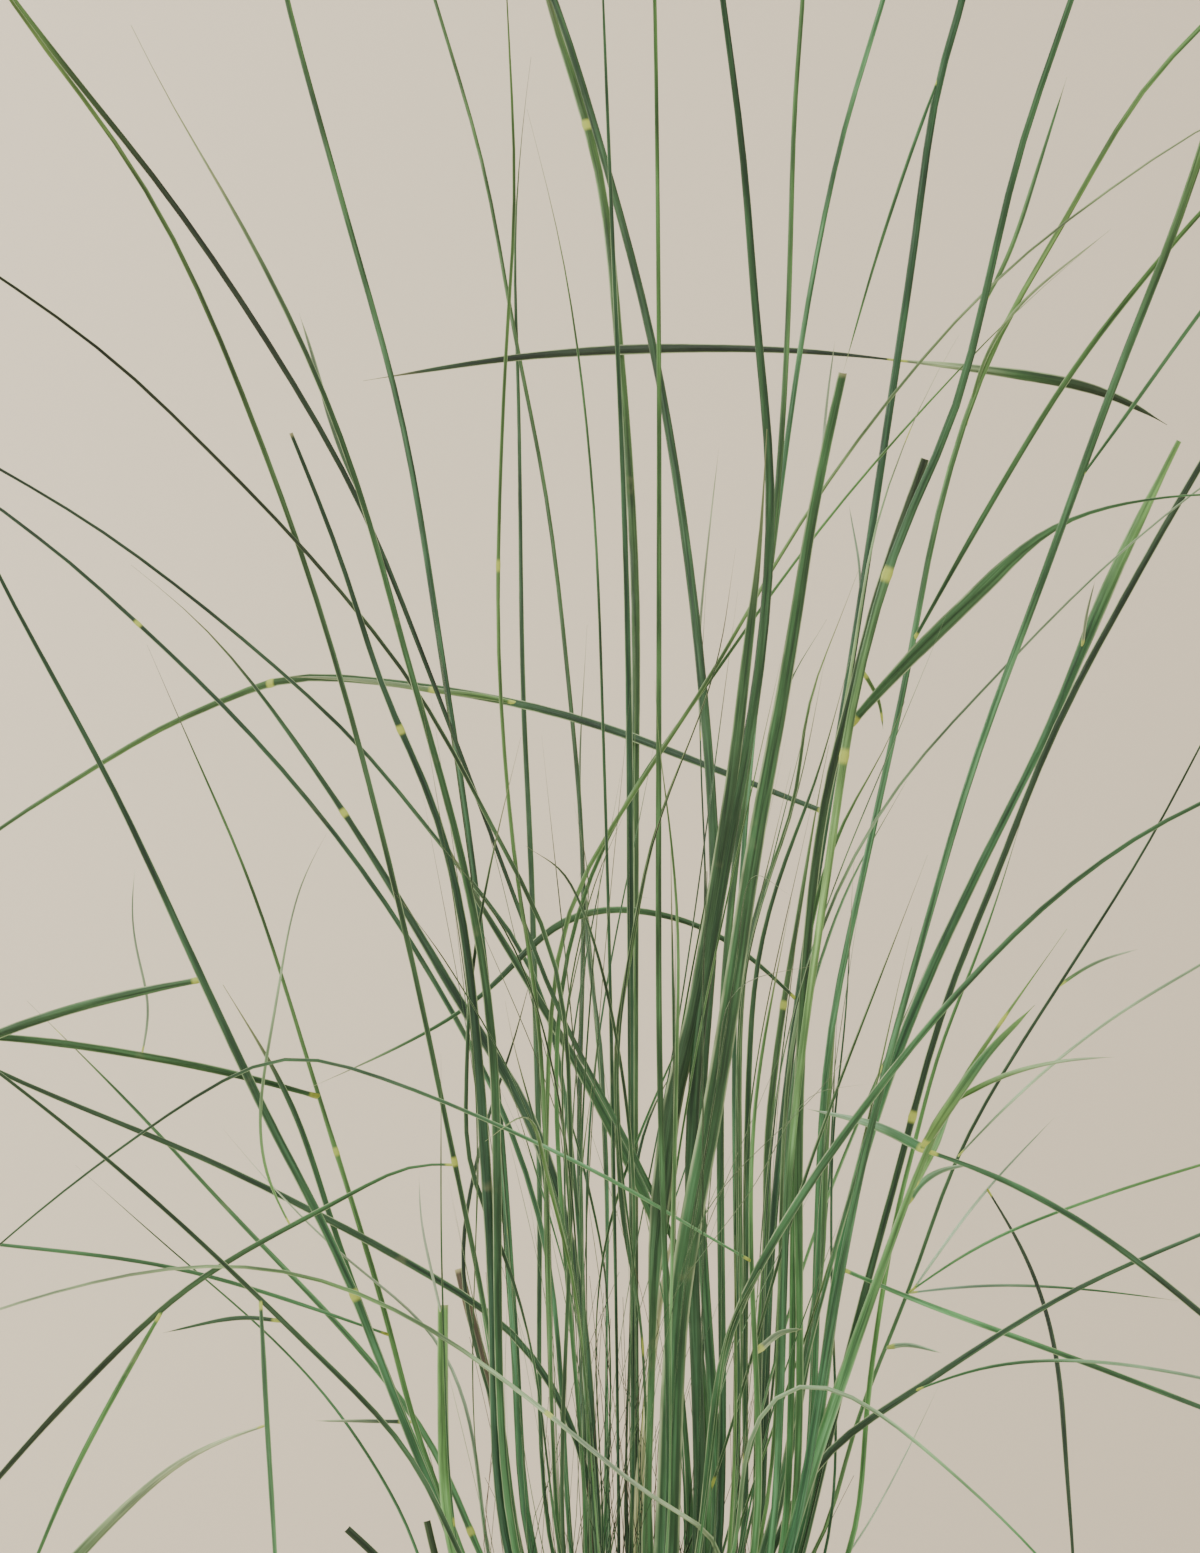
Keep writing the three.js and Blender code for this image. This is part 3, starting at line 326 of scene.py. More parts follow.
       [104, 472], [118, 506], [130, 531], [136, 543]],
       [0.85, 0.85, 0.85, 0.85, 0.85, 0.85, 0.95, 1.12, 1.15, 1.12, 1.7, 4.2, 11])],
    # Long blade beside it
    [leaf(1.9, "deep dark", [[42, 266], [54, 317], [67, 365], [77, 401], [91, 436], [105, 471], [127, 512],
       [145, 543], [164, 572]], [0.85, 0.8, 1.8])],
    # Arched pale blade low on the right
    [leaf(1, "green green pale cool deep", [[25, 265], [28, 293], [36, 308], [44, 309], [54, 305],
       [76, 288], [104, 261], [124, 233], [136, 212]], [0.6, 0.8, 1, 0.9])],
    # Thin right culm with a fan of fine leaves
    [leaf(0.9, "lime green deep deep pale", [[46, 266], [55, 297], [69, 332], [80, 363], [92, 385],
       [108, 410], [127, 440], [141, 466], [152, 486]], [1, 1, 1.2, 0.8]),
     leaf(0.7, "pale", [[80, 364], [94, 378], [118, 398], [145, 414], [159, 422]]),
     leaf(0.75, "cool lime pale", [[68, 330], [86, 342], [116, 354], [145, 363], [166, 368]]),
     leaf(0.7, "pale green green", [[68, 330], [87, 332], [112, 331], [136, 328]]),
     leaf(0.7, "pale", [[69, 330], [78, 343], [88, 356], [105, 374]]),
     leaf(0.9, "dark", [[88, 356], [98, 339], [105, 317], [108, 284], [110, 256], [110, 233]],
       [0.8, 1.4, 1.2])],
    # Right culm with a pale tuft and two level leaves
    [leaf(1.8, "green cool lime bright", [[38, 265], [61, 334], [71, 361], [81, 382], [96, 404],
       [108, 421]], [1.3, 1.3, 1.2]),
     leaf(1, "lime pale", [[78, 378], [91, 384], [106, 388], [120, 389]], [1.4, 1, 1]),
     leaf(1.7, "green dark dark dark", [[72, 366], [91, 359], [116, 345], [145, 322], [166, 303]], 0.85),
     leaf(1.6, "cool pale", [[72, 366], [60, 372], [43, 376]], [1.5, 1.2, 0.7])],
    # Low blade to the right with a side leaf
    [leaf(1.2, "dark deep", [[34, 265], [47, 290], [66, 303], [90, 319], [112, 332], [145, 346],
       [171, 356]], [1.3, 1.2, 1]),
     leaf(0.8, "green pale", [[70, 305], [88, 312], [116, 313], [145, 308], [164, 303]])],
]

# Strands that only the looks have: second blades in the middle, side leaves and pale wisps,
# each with the number of the tiller that it grows from
FINER_STRANDS = [
    (14, leaf(1.6, "green deep lime", [[4, 265], [2.5, 303], [1, 329.5], [-3, 345], [-4, 368], [-5, 388],
      [-4.5, 399], [-1, 413], [1, 430], [4, 441], [8, 456], [14, 467], [17, 478], [19, 483]])),
    (16, leaf(1.1, "green lime", [[8, 265], [9, 328], [10, 366], [10.5, 392.5], [11, 416], [10, 434.5],
      [9, 444], [8, 453], [6, 466], [5, 478], [5, 483]])),
    (17, leaf(0.8, "deep", [[16, 265], [17, 353], [17, 403], [17, 421], [18, 433], [17, 446], [16.5, 463],
      [16, 481], [17, 491], [18, 513]])),
    (23, leaf(1.6, "green green lime", [[27, 265], [26, 353], [26.5, 403], [29.5, 425], [33, 433.5],
      [37, 443], [40.5, 454], [41.5, 461.5], [42, 473.5], [44, 481], [47, 488], [51.5, 499], [56, 511]])),
    (22, leaf(1.8, "deep green", [[27, 265], [27.5, 303], [28, 366], [29, 398], [30.5, 413], [33, 424.5],
      [37, 436.5], [40.5, 446.5], [44, 454], [47, 463], [49, 472], [52, 481], [54, 489.5]])),
    (26, leaf(2, "green lime", [[37, 265], [39, 303], [40, 366], [41, 391], [42.5, 413], [44, 424.5],
      [47, 434.5], [50, 443], [52.5, 450], [56, 456], [61, 461.5], [64.5, 470], [67.5, 478]])),
    (19, leaf(4.4, "green deep deep green", [[3, 265], [4, 303], [5, 341], [6, 351], [7.5, 360], [8, 369.5],
      [9, 379], [12, 388], [14.5, 397], [16.5, 408], [18, 418], [20.5, 433], [23, 449.5], [25, 463],
      [27, 481], [29, 498], [31, 513], [32, 528], [33, 546]])),
    (12, leaf(1.4, "green green pale", [[-7, 265], [-7, 328], [-7, 346], [-7, 360], [-8, 374], [-8, 385],
      [-8.5, 393], [-10, 402], [-12, 416], [-13, 433], [-14, 453], [-13.5, 473], [-12.5, 487],
      [-12, 497]])),
    (15, leaf(1.6, "dark deep", [[-2, 265], [-1, 328], [0, 363], [2, 372], [5.5, 379], [9, 385],
      [14, 393]])),
    (25, leaf(2.4, "green lime", [[30, 265], [31, 321], [33, 338], [33, 351], [33, 366], [34, 379.5],
      [36, 393], [37, 403], [39, 413], [40.5, 422], [42, 432], [44, 443], [46, 456], [48.5, 467]])),
    (28, leaf(0.8, "deep", [[48, 265], [49, 341], [49.5, 373], [51, 383], [52.5, 397], [53.5, 411],
      [54, 428], [55, 441]])),
    (8, leaf(1.3, "green deep green", [[-19, 265], [-22.5, 293], [-26, 318], [-31, 335], [-34.5, 345],
      [-40, 356], [-43, 366], [-42, 378], [-42, 388], [-42, 397], [-41, 408], [-39, 423], [-37, 432],
      [-35, 444], [-32, 453], [-31, 460], [-28.5, 469]])),
    (18, leaf(3, "deep green deep", [[14, 265], [9, 328], [5, 349.5], [0, 360], [-6, 371], [-11, 381],
      [-17, 392], [-24, 402.5], [-29, 412], [-35, 421], [-39, 427.5], [-44, 436], [-49, 445], [-53, 456]])),
    (7, leaf(1.4, "green dark deep", [[-29, 265], [-32.5, 291], [-36, 303], [-40.5, 318], [-42.5, 328],
      [-43.5, 337], [-43, 348], [-41, 356], [-39, 366], [-36, 377.5], [-31, 389.5], [-29, 397], [-27, 406],
      [-24.5, 414.5]])),
    (28, leaf(3.2, "green deep lime", [[32, 265], [34.5, 270], [37, 282.5], [39.5, 295], [41, 303],
      [43, 313], [44, 323], [46, 331], [47, 341], [47, 353], [47.5, 366], [48.5, 379.5], [49.5, 393],
      [51, 406]])),
    (24, leaf(1.3, "pale green", [[30.5, 315], [33, 317.5], [36, 320], [42, 321]])),
    (33, leaf(0.7, "pale", [[54, 265], [61, 276.5], [66, 286.5], [71, 296], [76, 307]])),
    (8, leaf(1.2, "green pale", [[-71, 528], [-74, 542], [-77.5, 553], [-81, 566], [-84, 575]])),
    (25, leaf(1.3, "lime pale", [[-29, 478], [-34, 479], [-47, 480], [-59, 482], [-71, 483.5], [-81, 484],
      [-87, 484]])),
    (17, leaf(0.6, "pale", [[16, 468], [16, 481], [16, 497], [17.5, 509.5], [18.5, 520.5], [20, 533],
      [21, 541.5]])),
    (21, leaf(0.6, "pale", [[45, 533], [47, 542], [48, 553], [50, 568]])),
    (25, leaf(0.6, "pale", [[57, 503], [56, 513], [54.5, 521], [53.5, 527]])),
    (26, leaf(1.1, "green lime bright pale", [[37, 265], [40, 366], [44, 428], [51, 468], [56, 498],
      [59, 518], [63, 531], [67.5, 543], [72.5, 554.5], [77.5, 564.5], [81, 569.5]])),
    (26, cut(2.3, "green green deep dark", [[39, 265], [41, 378], [44, 428], [49, 461], [53, 474.5],
      [57, 491], [60, 503], [63, 512], [66, 520.5], [70, 531], [72.5, 538.5]])),
    (26, leaf(0.9, "bright bright", [[60, 485], [61, 478], [62, 471]])),
    (28, leaf(0.8, "lime pale", [[79, 548], [87.5, 565], [94, 575], [100.5, 581.5], [109, 588],
      [118.5, 595.5]])),
    (30, leaf(0.7, "pale", [[111, 491], [113, 500], [115, 508]])),
    (2, leaf(0.6, "pale", [[-121, 403], [-122, 405.5], [-124, 412.5], [-126, 425], [-125, 436]])),
    (6, leaf(0.7, "lime pale", [[-93, 359], [-94, 378], [-91.5, 392], [-88, 412.5], [-84, 433],
      [-77, 445]])),
    (5, leaf(0.6, "pale", [[-49, 323], [-51, 336], [-53.5, 348], [-54, 359]])),
    (33, leaf(0.8, "lime pale", [[105, 407], [109, 409], [116, 413], [126, 416]])),
    (34, leaf(2.5, "bright cool bright", [[72, 366], [76, 373], [81, 380], [87.5, 389.5], [94, 396],
      [100, 402]])),
    (34, leaf(1.8, "bright cool", [[69, 356], [73, 363], [76, 369], [78, 375], [82, 382]])),
    (34, leaf(1.5, "cool pale", [[67, 352], [72, 358], [77.5, 361], [84, 362]])),
    (30, leaf(1.4, "green lime green", [[54, 265], [58, 303], [62, 331], [66, 353], [71, 371], [74, 384.5],
      [78, 396], [82.5, 407], [87.5, 419.5], [92, 433], [98, 453]])),
    (33, leaf(1, "pale", [[63, 316], [66, 317], [69, 317], [73, 316], [76.5, 315]])),
    (11, leaf(1, "green", [[-11, 265], [-12.5, 328], [-14, 358], [-11, 378], [-10, 388]])),
    (9, leaf(1.2, "deep green", [[-19, 265], [-21, 328], [-23, 364], [-25, 374], [-28, 383], [-31, 393],
      [-32.5, 403]])),
    (10, leaf(1.3, "green deep", [[-8, 265], [-6, 306], [-7.5, 337], [-9.5, 348], [-12.5, 359], [-15, 371],
      [-19, 381], [-22, 391]])),
]


def make_draw(seed):
    """A repeatable draw between 0 and 1, the same one as in the part's source."""
    mask = 0xFFFFFFFF
    state = seed & mask

    def draw():
        nonlocal state
        state = (state + 0x6D2B79F5) & mask
        t = state
        t = ((t ^ (t >> 15)) * (t | 1)) & mask
        t = t ^ ((t + (t ^ (t >> 7)) * (t | 61)) & mask)
        return (t ^ (t >> 14)) / (mask + 1)

    return draw


def between(draw, limits):
    """A drawn value between two limits."""
    return limits[0] + (limits[1] - limits[0]) * draw()


def unit(vector):
    """The vector with length one."""
    return vector / np.linalg.norm(vector)


def across(vector, axis):
    """The part of a vector that is square to an axis."""
    return vector - axis * (vector @ axis)


def level_side(out):
    """The level direction to the left of a level one."""
    return np.array([-out[1], out[0], 0])


def turned(vector, axis, angle):
    """The vector turned about an axis."""
    straight = vector * math.cos(angle) + np.cross(axis, vector) * math.sin(angle)
    return straight + axis * (axis @ vector) * (1 - math.cos(angle))


def from_view(x, z, y):
    """Point at depth y that the front view shows at x, z."""
    scale = (EYE_DISTANCE + y) / EYE_DISTANCE
    return np.array([EYE_X + (x - EYE_X) * scale, y, EYE_Z + (z - EYE_Z) * scale])


def to_view(point):
    """Where the front view shows a point."""
    scale = EYE_DISTANCE / (EYE_DISTANCE + point[1])
    return [EYE_X + (point[0] - EYE_X) * scale, EYE_Z + (point[2] - EYE_Z) * scale]


def segment_gaps(a, b, c, d):
    """Least distances between segments ab and cd, row by row."""
    u = b - a
    v = d - c
    w = a - c
    uu = (u * u).sum(1)
    vv = (v * v).sum(1)
    uv = (u * v).sum(1)
    uw = (u * w).sum(1)
    vw = (v * w).sum(1)
    spread = uu * vv - uv * uv
    crossing = spread > LEAST_SPREAD
    s = np.where(crossing, np.clip((uv * vw - vv * uw) / np.where(crossing, spread, 1), 0, 1), 0)
    t = (uv * s + vw) / vv
    outside = (t < 0) | (t > 1)
    t = np.where(outside, np.clip(t, 0, 1), t)
    s = np.where(outside, np.clip((uv * t - uw) / uu, 0, 1), s)
    return np.linalg.norm(w + u * s[:, None] - v * t[:, None], axis=1)


class PlacedStrands:
    """What is already placed: segments with their owner and radius."""

    def __init__(self):
        self.owners = np.zeros(0, int)
        self.starts = np.zeros((0, 3))
        self.ends = np.zeros((0, 3))
        self.radii = np.zeros(0)

    def add(self, owner, points, radius):
        """Adds the segments between the points."""
        points = np.array(points)
        count = len(points) - 1
        self.owners = np.append(self.owners, np.full(count, owner))
        self.starts = np.vstack([self.starts, points[:-1]])
        self.ends = np.vstack([self.ends, points[1:]])
        self.radii = np.append(self.radii, np.full(count, radius))
        self.low = np.minimum(self.starts, self.ends) - self.radii[:, None]
        self.high = np.maximum(self.starts, self.ends) + self.radii[:, None]

    def is_clear(self, owner, points, radius):
        """Whether the points' segments stay clear of all that other owners have placed."""
        points = np.array(points)
        starts = points[:-1]
        ends = points[1:]
        low = np.minimum(starts, ends) - (radius + CLEARANCE)
        high = np.maximum(starts, ends) + (radius + CLEARANCE)
        near = (low[:, None] <= self.high[None]).all(2) & (high[:, None] >= self.low[None]).all(2)
        i, j = np.nonzero(near & (self.owners != owner)[None])
        gaps = segment_gaps(starts[i], ends[i], self.starts[j], self.ends[j])
        return bool((gaps >= radius + self.radii[j] + CLEARANCE).all())


placed = PlacedStrands()


def bends():
    """Small changes of lean and bow, the gentlest first."""
    for ring in range(BEND_RINGS + 1):
        for bow in range(-ring, ring + 1):
            lean = ring - abs(bow)
            yield bow * BOW_STEP, lean * LEAN_STEP
            if lean > 0:
                yield bow * BOW_STEP, -lean * LEAN_STEP


def root_sites():
    """Root sites inside the crown, nearest to the middle first, and those of one ring by x and y."""
    sites = []
    row_pitch = SITE_PITCH * math.sqrt(0.75)
    rows = math.ceil(SITE_RADIUS / row_pitch)
    for row in range(-rows, rows + 1):
        shift = 0 if row % 2 == 0 else SITE_PITCH / 2
        for column in range(-rows, rows + 1):
            x = column * SITE_PITCH + shift
            y = row * row_pitch
            if math.hypot(x, y) < SITE_RADIUS:
                sites.append((x, y))
    sites.sort(key=lambda site: (round(math.hypot(*site) / RING_GRAIN), *site))
    return sites[: len(TILLERS) + FILL_TILLERS]


def take_site(sites, x, y):
    """Takes the free site nearest to a place."""
    away = [(site_x - x) * (site_x - x) + (site_y - y) * (site_y - y) for site_x, site_y in sites]
    return sites.pop(away.index(min(away)))


def strand_foot(site, index):
    """Foot of a strand inside its tiller's stub, each on its own side of the middle."""
    angle = GOLDEN_TURN * index
    offset = STRAND_OFFSET if index > 0 else 0
    x = site[0] + offset * math.cos(angle)
    y = site[1] + offset * math.sin(angle)
    return np.array([x, y, SOIL_LEVEL + STRAND_SEAT])


def nearest_on(strands, x, z):
    """Nearest point of a tiller's front view routes, with its depth."""
    best = SimpleNamespace(distance=math.inf)
    for strand in strands:
        for i in range(1, len(strand.view)):
            ax, az = strand.view[i - 1]
            bx, bz = strand.view[i]
            length = (bx - ax) ** 2 + (bz - az) ** 2
            t = min(1, max(0, ((x - ax) * (bx - ax) + (z - az) * (bz - az)) / length))
            distance = math.hypot(ax + (bx - ax) * t - x, az + (bz - az) * t - z)
            if distance < best.distance:
                a = strand.points[i - 1]
                b = strand.points[i]
                point = a + (b - a) * t
                best = SimpleNamespace(distance=distance, point=to_view(point), depth=point[1])
    return best


def run_out(strand):
    """Adds the drooping tip to a leaf that ends far out to the side."""
    (from_x, from_z), (x, z) = strand.route[-2:]
    if strand.kind != "leaf" or abs(x - EYE_X) < STILL_WIDE:
        return strand
    length = math.hypot(x - from_x, z - from_z)
    heading = [(x - from_x) / length, (z - from_z) / length - RUN_OUT_DROOP]
    reach = RUN_OUT / math.hypot(*heading)
    tip = [x + heading[0] * reach, z + heading[1] * reach]
    return SimpleNamespace(**{**vars(strand), "route": strand.route + [tip]})


def full_route(strand, tiller, index):
    """Front view route from the foot or fork on, with its depth there and its lean."""
    x, z = strand.route[0]
    if z < ROOTED_BELOW:
        foot = strand_foot(tiller.site, index)
        start = to_view(foot)
        rise = [start[0] + (x - start[0]) * RISE_SHARE, start[1] + RISE_HEIGHT]
        return [start, rise, *strand.route], foot[1], tiller.lean
    fork = nearest_on(tiller.strands, x, z)
    skip = 1 if fork.distance < FORK_REACH else 0
    lean = SIDE_LEAN * math.sin(SIDE_LEAN_STEP * index + tiller.number)
    return [fork.point, *strand.route[skip:]], fork.depth, lean


def place_depth(view, start, lean, bow):
    """Points of a front view route that leans and bows in depth."""
    steps = [math.hypot(b[0] - a[0], b[1] - a[1]) for a, b in zip(view, view[1:])]
    along = np.append(0, np.cumsum(steps))
    length = along[-1]
    points = []
    for (x, z), reach in zip(view, along):
        u = reach / length
        points.append(from_view(x, z, start + lean * length * u + bow * math.sin(math.pi * u)))
    return points


def fan_lean(index):
    """How much a strand leans in depth beside the first strand of its tiller."""
    return 0 if index == 0 else STRAND_FAN * (((index * 2) % FAN_STEPS) - FAN_STEPS // 2)


def lay_strand(strand, tiller, view, points, turn):
    """Adds a listed strand to its tiller, rolled a little away from the front."""
    laid = SimpleNamespace(**vars(strand), view=view, points=points, facing=FRONT, is_fine=False)
    laid.roll = math.pi / 2 + ROLL_SPREAD * math.sin(turn)
    laid.forked = strand.route[0][1] >= ROOTED_BELOW
    tiller.strands.append(laid)
    return laid


def place_read_strand(strand, tiller, index):
    """Lays a strand that was read from the photo, clear of all the others."""
    view, depth, lean = full_route(strand, tiller, index)
    for bow, lean_change in bends():
        points = place_depth(view, depth, lean + fan_lean(index) + lean_change, bow)
        if placed.is_clear(tiller.number, points, strand.width / 2):
            lay_strand(strand, tiller, view, points, ROLL_STEP * index + tiller.number)
            placed.add(tiller.number, points, strand.width / 2)
            return
    raise RuntimeError(f"no clear way for strand {index} of tiller {tiller.number}")


def draw_leaf(draw, site, index):
    """Filler leaf from its stub: out along its heading, upright at first, then bending over."""
    arches = abs(site[1]) > ARCH_FROM and draw() < ARCH_SHARE
    form = ARCHING if arches else UPRIGHT
    heading = math.atan2(site[1], site[0]) + between(draw, form.turn)
    out = np.array([math.cos(heading), math.sin(heading), 0])
    step = between(draw, form.length) / form.steps
    lean = between(draw, form.lean)
    bend = between(draw, form.bend)
    points = [strand_foot(site, index)]
    for i in range(1, form.steps + 1):
        angle = lean + bend * ((i - 0.5) / form.steps) ** BEND_POWER
        points.append(points[-1] + out * math.sin(angle) * step + UP * math.cos(angle) * step)
    strand = SimpleNamespace(kind="leaf", tones="", forked=False, points=points)
    strand.width = between(draw, FILL_WIDTH)
    strand.roll = between(draw, FILL_ROLL)
    strand.facing = level_side(out)
    return strand


def is_in_core(points):
    """Whether a filler leaf stays in the dense middle of the front view and above the soil."""
    for point in points:
        x, z = to_view(point)
        half_width = CORE_HALF_WIDTH + CORE_FLARE * (z - SOIL_LEVEL)
        if abs(x - CORE_CENTRE) >= half_width or point[2] <= SOIL_LEVEL:
            return False
    return True


def place_filler(draw, tiller, index):
    """Lays a filler leaf where one of a few draws is clear."""
    for _ in range(DRAW_TRIES):
        strand = draw_leaf(draw, tiller.site, index)
        if is_in_core(strand.points) and placed.is_clear(tiller.number, strand.points, strand.width / 2):
            strand.view = [to_view(point) for point in strand.points]
            tiller.strands.append(strand)
            placed.add(tiller.number, strand.points, strand.width / 2)
            return


def lay_tillers(draw):
    """Roots every tiller, then lays all its strands."""
    sites = root_sites()
    tillers = []
    for i, strands in enumerate(TILLERS):
        lean = DEPTH_LEAN * math.sin(GOLDEN_TURN * i)
        tiller = SimpleNamespace(number=i + 1, source=[run_out(strand) for strand in strands])
        tiller.site = take_site(sites, strands[0].route[0][0] * ROOT_PULL, lean * ROOT_DEPTH_SPREAD)
        tiller.lean = tiller.site[1] / ROOT_DEPTH_SPREAD
        tillers.append(tiller)
    for site in sites:
        tillers.append(SimpleNamespace(number=len(tillers) + 1, source=[], site=site, lean=0))
    for tiller in tillers:
        tiller.name = f"tiller_{tiller.number:02d}"
        tiller.strands = []
        x, y = tiller.site
        stub = [np.array([x, y, SOIL_LEVEL + rise]) for rise in (-STUB_DEPTH, STUB_RISE)]
        placed.add(tiller.number, stub, STUB_RADIUS)
    for tiller in tillers:
        for index, strand in enumerate(tiller.source):
            place_read_strand(strand, tiller, index)
    for turn in range(FILL_LEAVES):
        for tiller in tillers:
            if turn < SIDE_FILL_LEAVES or not tiller.source:
                place_filler(draw, tiller, len(tiller.source) + turn)
    return tillers


def strands_of(tillers):
    """All the strands of the tillers."""
    return [strand for tiller in tillers for strand in tiller.strands]


def lay_finer_strands(tillers):
    """Adds the finer blades and wisps to their tillers."""
    for index, (number, strand) in enumerate(FINER_STRANDS):
        tiller = tillers[number - 1]
        turn = ROLL_STEP * index
        view, depth, lean = full_route(strand, tiller, index)
        points = place_depth(view, depth, lean + FINER_LEAN * math.sin(turn), 0)
        laid = lay_strand(strand, tiller, view, points, turn)
        laid.is_fine = not laid.forked and strand.route[-1][1] > FINE_TOP


def bring_forward(tillers):
    """Moves the strands that cross in front of the others nearer to the eye, along its lines of sight."""
    for number, index, reach in NEAR_STRANDS:
        strand = tillers[number - 1].strands[index]
        last = len(strand.points) - 1
        for i, point in enumerate(strand.points):
            near = min(i / last / NEAR_FROM, 1)
            strand.points[i] = from_view(*strand.view[i], point[1] - reach * near**2 * (3 - 2 * near))


def tuck_fillers(tillers):
    """Moves each filler leaf sideways onto the rooted strand that it runs beside, where that is near."""
    climbs = []
    for strand in strands_of(tillers):
        if strand.tones and not strand.forked:
            view = np.array(strand.view)
            climbs.append(view[: np.argmax(view[:, 1]) + 1])
    for strand in strands_of(tillers):
        if strand.tones:
            continue
        view = np.array([to_view(point) for point in strand.points])
        gaps = []
        for climb in climbs:
            gap = np.interp(view[:, 1], climb[:, 1], climb[:, 0]) - view[:, 0]
            gaps.append(np.where(view[:, 1] < climb[-1, 1], gap, TUCK_REACH))
        gap = min(gaps, key=lambda gap: np.abs(gap).mean())
        view[:, 0] += gap * np.clip(2 - np.abs(gap) / TUCK_REACH, 0, 1)
        strand.points = [from_view(x, z, point[1]) for (x, z), point in zip(view, strand.points)]
        strand.view = [tuple(place) for place in view]
        strand.is_fine = True


def lay_axis(stem, name, owner):
    """Nodding axis of a plume, just clear of its stem's end."""
    heading = unit(stem.points[-1] - stem.points[-2])
    points = [stem.points[-1] + heading * SEAT_GAP]
    step = heading
    for _ in range(PLUME_SEGMENTS):
        points.append(points[-1] + step * (PLUME_LENGTH / PLUME_SEGMENTS))
        step = unit(step + np.array([heading[0], heading[1], 0]) * PLUME_NOD)
    placed.add(owner, points, AXIS_WIDTH / 2)
    return SimpleNamespace(name=name, owner=owner, points=points, branches=[])


def lay_plumes(draw, tillers):
    """Airy plumes: all the axes first, then thin branches."""
    plumes = []
    for tiller in tillers:
        stems = [strand for strand in tiller.strands if strand.kind == "plume"]
        if stems:
            name = tiller.name.replace("tiller", "plume")
            plumes.append(lay_axis(stems[0], name, -tiller.number))
    for index in range(BRANCHES):
        for spray in plumes:
            place_branch(draw, spray, index)
    return plumes


def place_branch(draw, spray, index):
    """Lays one branch of a plume where a draw is clear."""
    u = BRANCH_FROM + (BRANCH_SPAN * (index + 0.5)) / BRANCHES
    place = u * PLUME_SEGMENTS
    first = math.floor(place)
    start = spray.points[first]
    base = start + (spray.points[first + 1] - start) * (place - first)
    along = unit(spray.points[first + 1] - start)
    length = BRANCH_LENGTH * (1 - BRANCH_SHORTENING * u)
    for _ in range(DRAW_TRIES):
        turn = GOLDEN_TURN * index + between(draw, BRANCH_TURN)
        opening = between(draw, BRANCH_OPENING)
        side = turned(unit(across(FRONT, along)), along, turn)
        out = along * math.cos(opening) + side * math.sin(opening)
        points = [base + out * (length * share) for share in (0, SPIKELET_PLACE, 1)]
        if placed.is_clear(spray.owner, points, SPIKELET_WIDTH / 2):
            placed.add(spray.owner, points, SPIKELET_WIDTH / 2)
            spray.branches.append(points)
            return


# Finer forms of the dressed pieces, in half widths, rows, millimetres and radians
BLADE_FOLD = ((0, 0.34), (0.5, 0.22), (1, -0.16))
BLADE_COLUMNS = 4
BLADE_BODY = 0.17
COLUMN_REACH = 0.1
BLADE_SMOOTH = 0.9
ROUND_SMOOTH = 1.2
TURNED_SMOOTH = 0.6
BLADE_ROWS = 44
SCALE_ROWS = 7
STEM_SIDES = 8
HAIR_SIDES = 3
HAIR_ROWS = 5
WAY_STEPS = 12
WAY_STEP = 3
INNER_SHARES = (0.001, 0.999)
STEEP = 0.9
ROUNDING = 7
COLLAR_HALF_LENGTH = 1.6
COLLAR_SWELL = 0.22
READ_ROLL = 0.35
FINER_LEAN = 0.05
TUCK_REACH = 9
FINE_TOP = 360
NEAR_FROM = 0.3
NEAR_STRANDS = ((18, 0, 40), (20, 0, 120), (24, 1, 70), (32, 0, 50), (27, 0, 45), (26, 0, 25))
FINE_FROM = 0.84
COLLAR_REACH = 3.5
NO_COLLAR = -99
FORK_COLLAR = 1.6
SHEATH_RINGS = ((0, 1), (0.6, 1), (0.8, 0.9), (0.93, 0.72), (1, 0.45))
SHEATH_SIDES = 10

# Yellow bands at the nodes and painted highlights on the strands, at their places in the front
# view, [x, z], and the half length of those that are longer than the others
COLLARS_AND_HIGHLIGHTS = [
    [-60, 470], [-74, 451], [70, 545], [61, 474], [43, 418, 3], [37, 402], [47, 340], [-31, 346],
    [-79, 379], [-75, 366], [-70, 329, 2], [-61, 319], [-58, 297], [-45, 273], [-125, 497], [-45, 363],
    [-22, 299], [92, 399, 3], [88, 356], [-9, 386], [62, 386], [68, 373, 2], [14, 347], [29, 338],
    [36, 373], [-33, 300], [19, 283, 2], [2, 299, 6], [3, 316, 3], [-12, 622, 2], [-34, 513, 2],
    [52, 464, 2.5], [65, 510], [54, 472], [27, 288, 2], [45, 430, 2], [-92, 482], [-50, 480],
    [-42, 270], [-144, 394],
]

TWIG_KINDS = 3
TWIG_SPIKELETS = 8
TWIG_OPENING = (0.35, 0.75)
SPIKELET_RINGS = ((0, 0.3), (0.35, 1), (0.7, 0.75), (1, 0.08))
SPIKELET_SIDES = 4
BRISTLE_RINGS = ((0, 1), (1, 0.3))
TWIG_FROM = 0.22
AXIS_TIP = 0.2
BRANCH_HAIR = 0.34
EDGE_MARGIN = 14


def start_fresh():
    """Object mode with nothing selected."""
    if bpy.context.mode != "OBJECT":
        bpy.ops.object.mode_set(mode="OBJECT")
    bpy.ops.object.select_all(action="DESELECT")


def edit_all(piece):
    """Edit mode on one piece with all of it selected."""
    bpy.context.view_layer.objects.active = piece
    bpy.ops.object.mode_set(mode="EDIT")
    bpy.ops.mesh.select_mode(type="VERT")
    bpy.ops.mesh.select_all(action="SELECT")


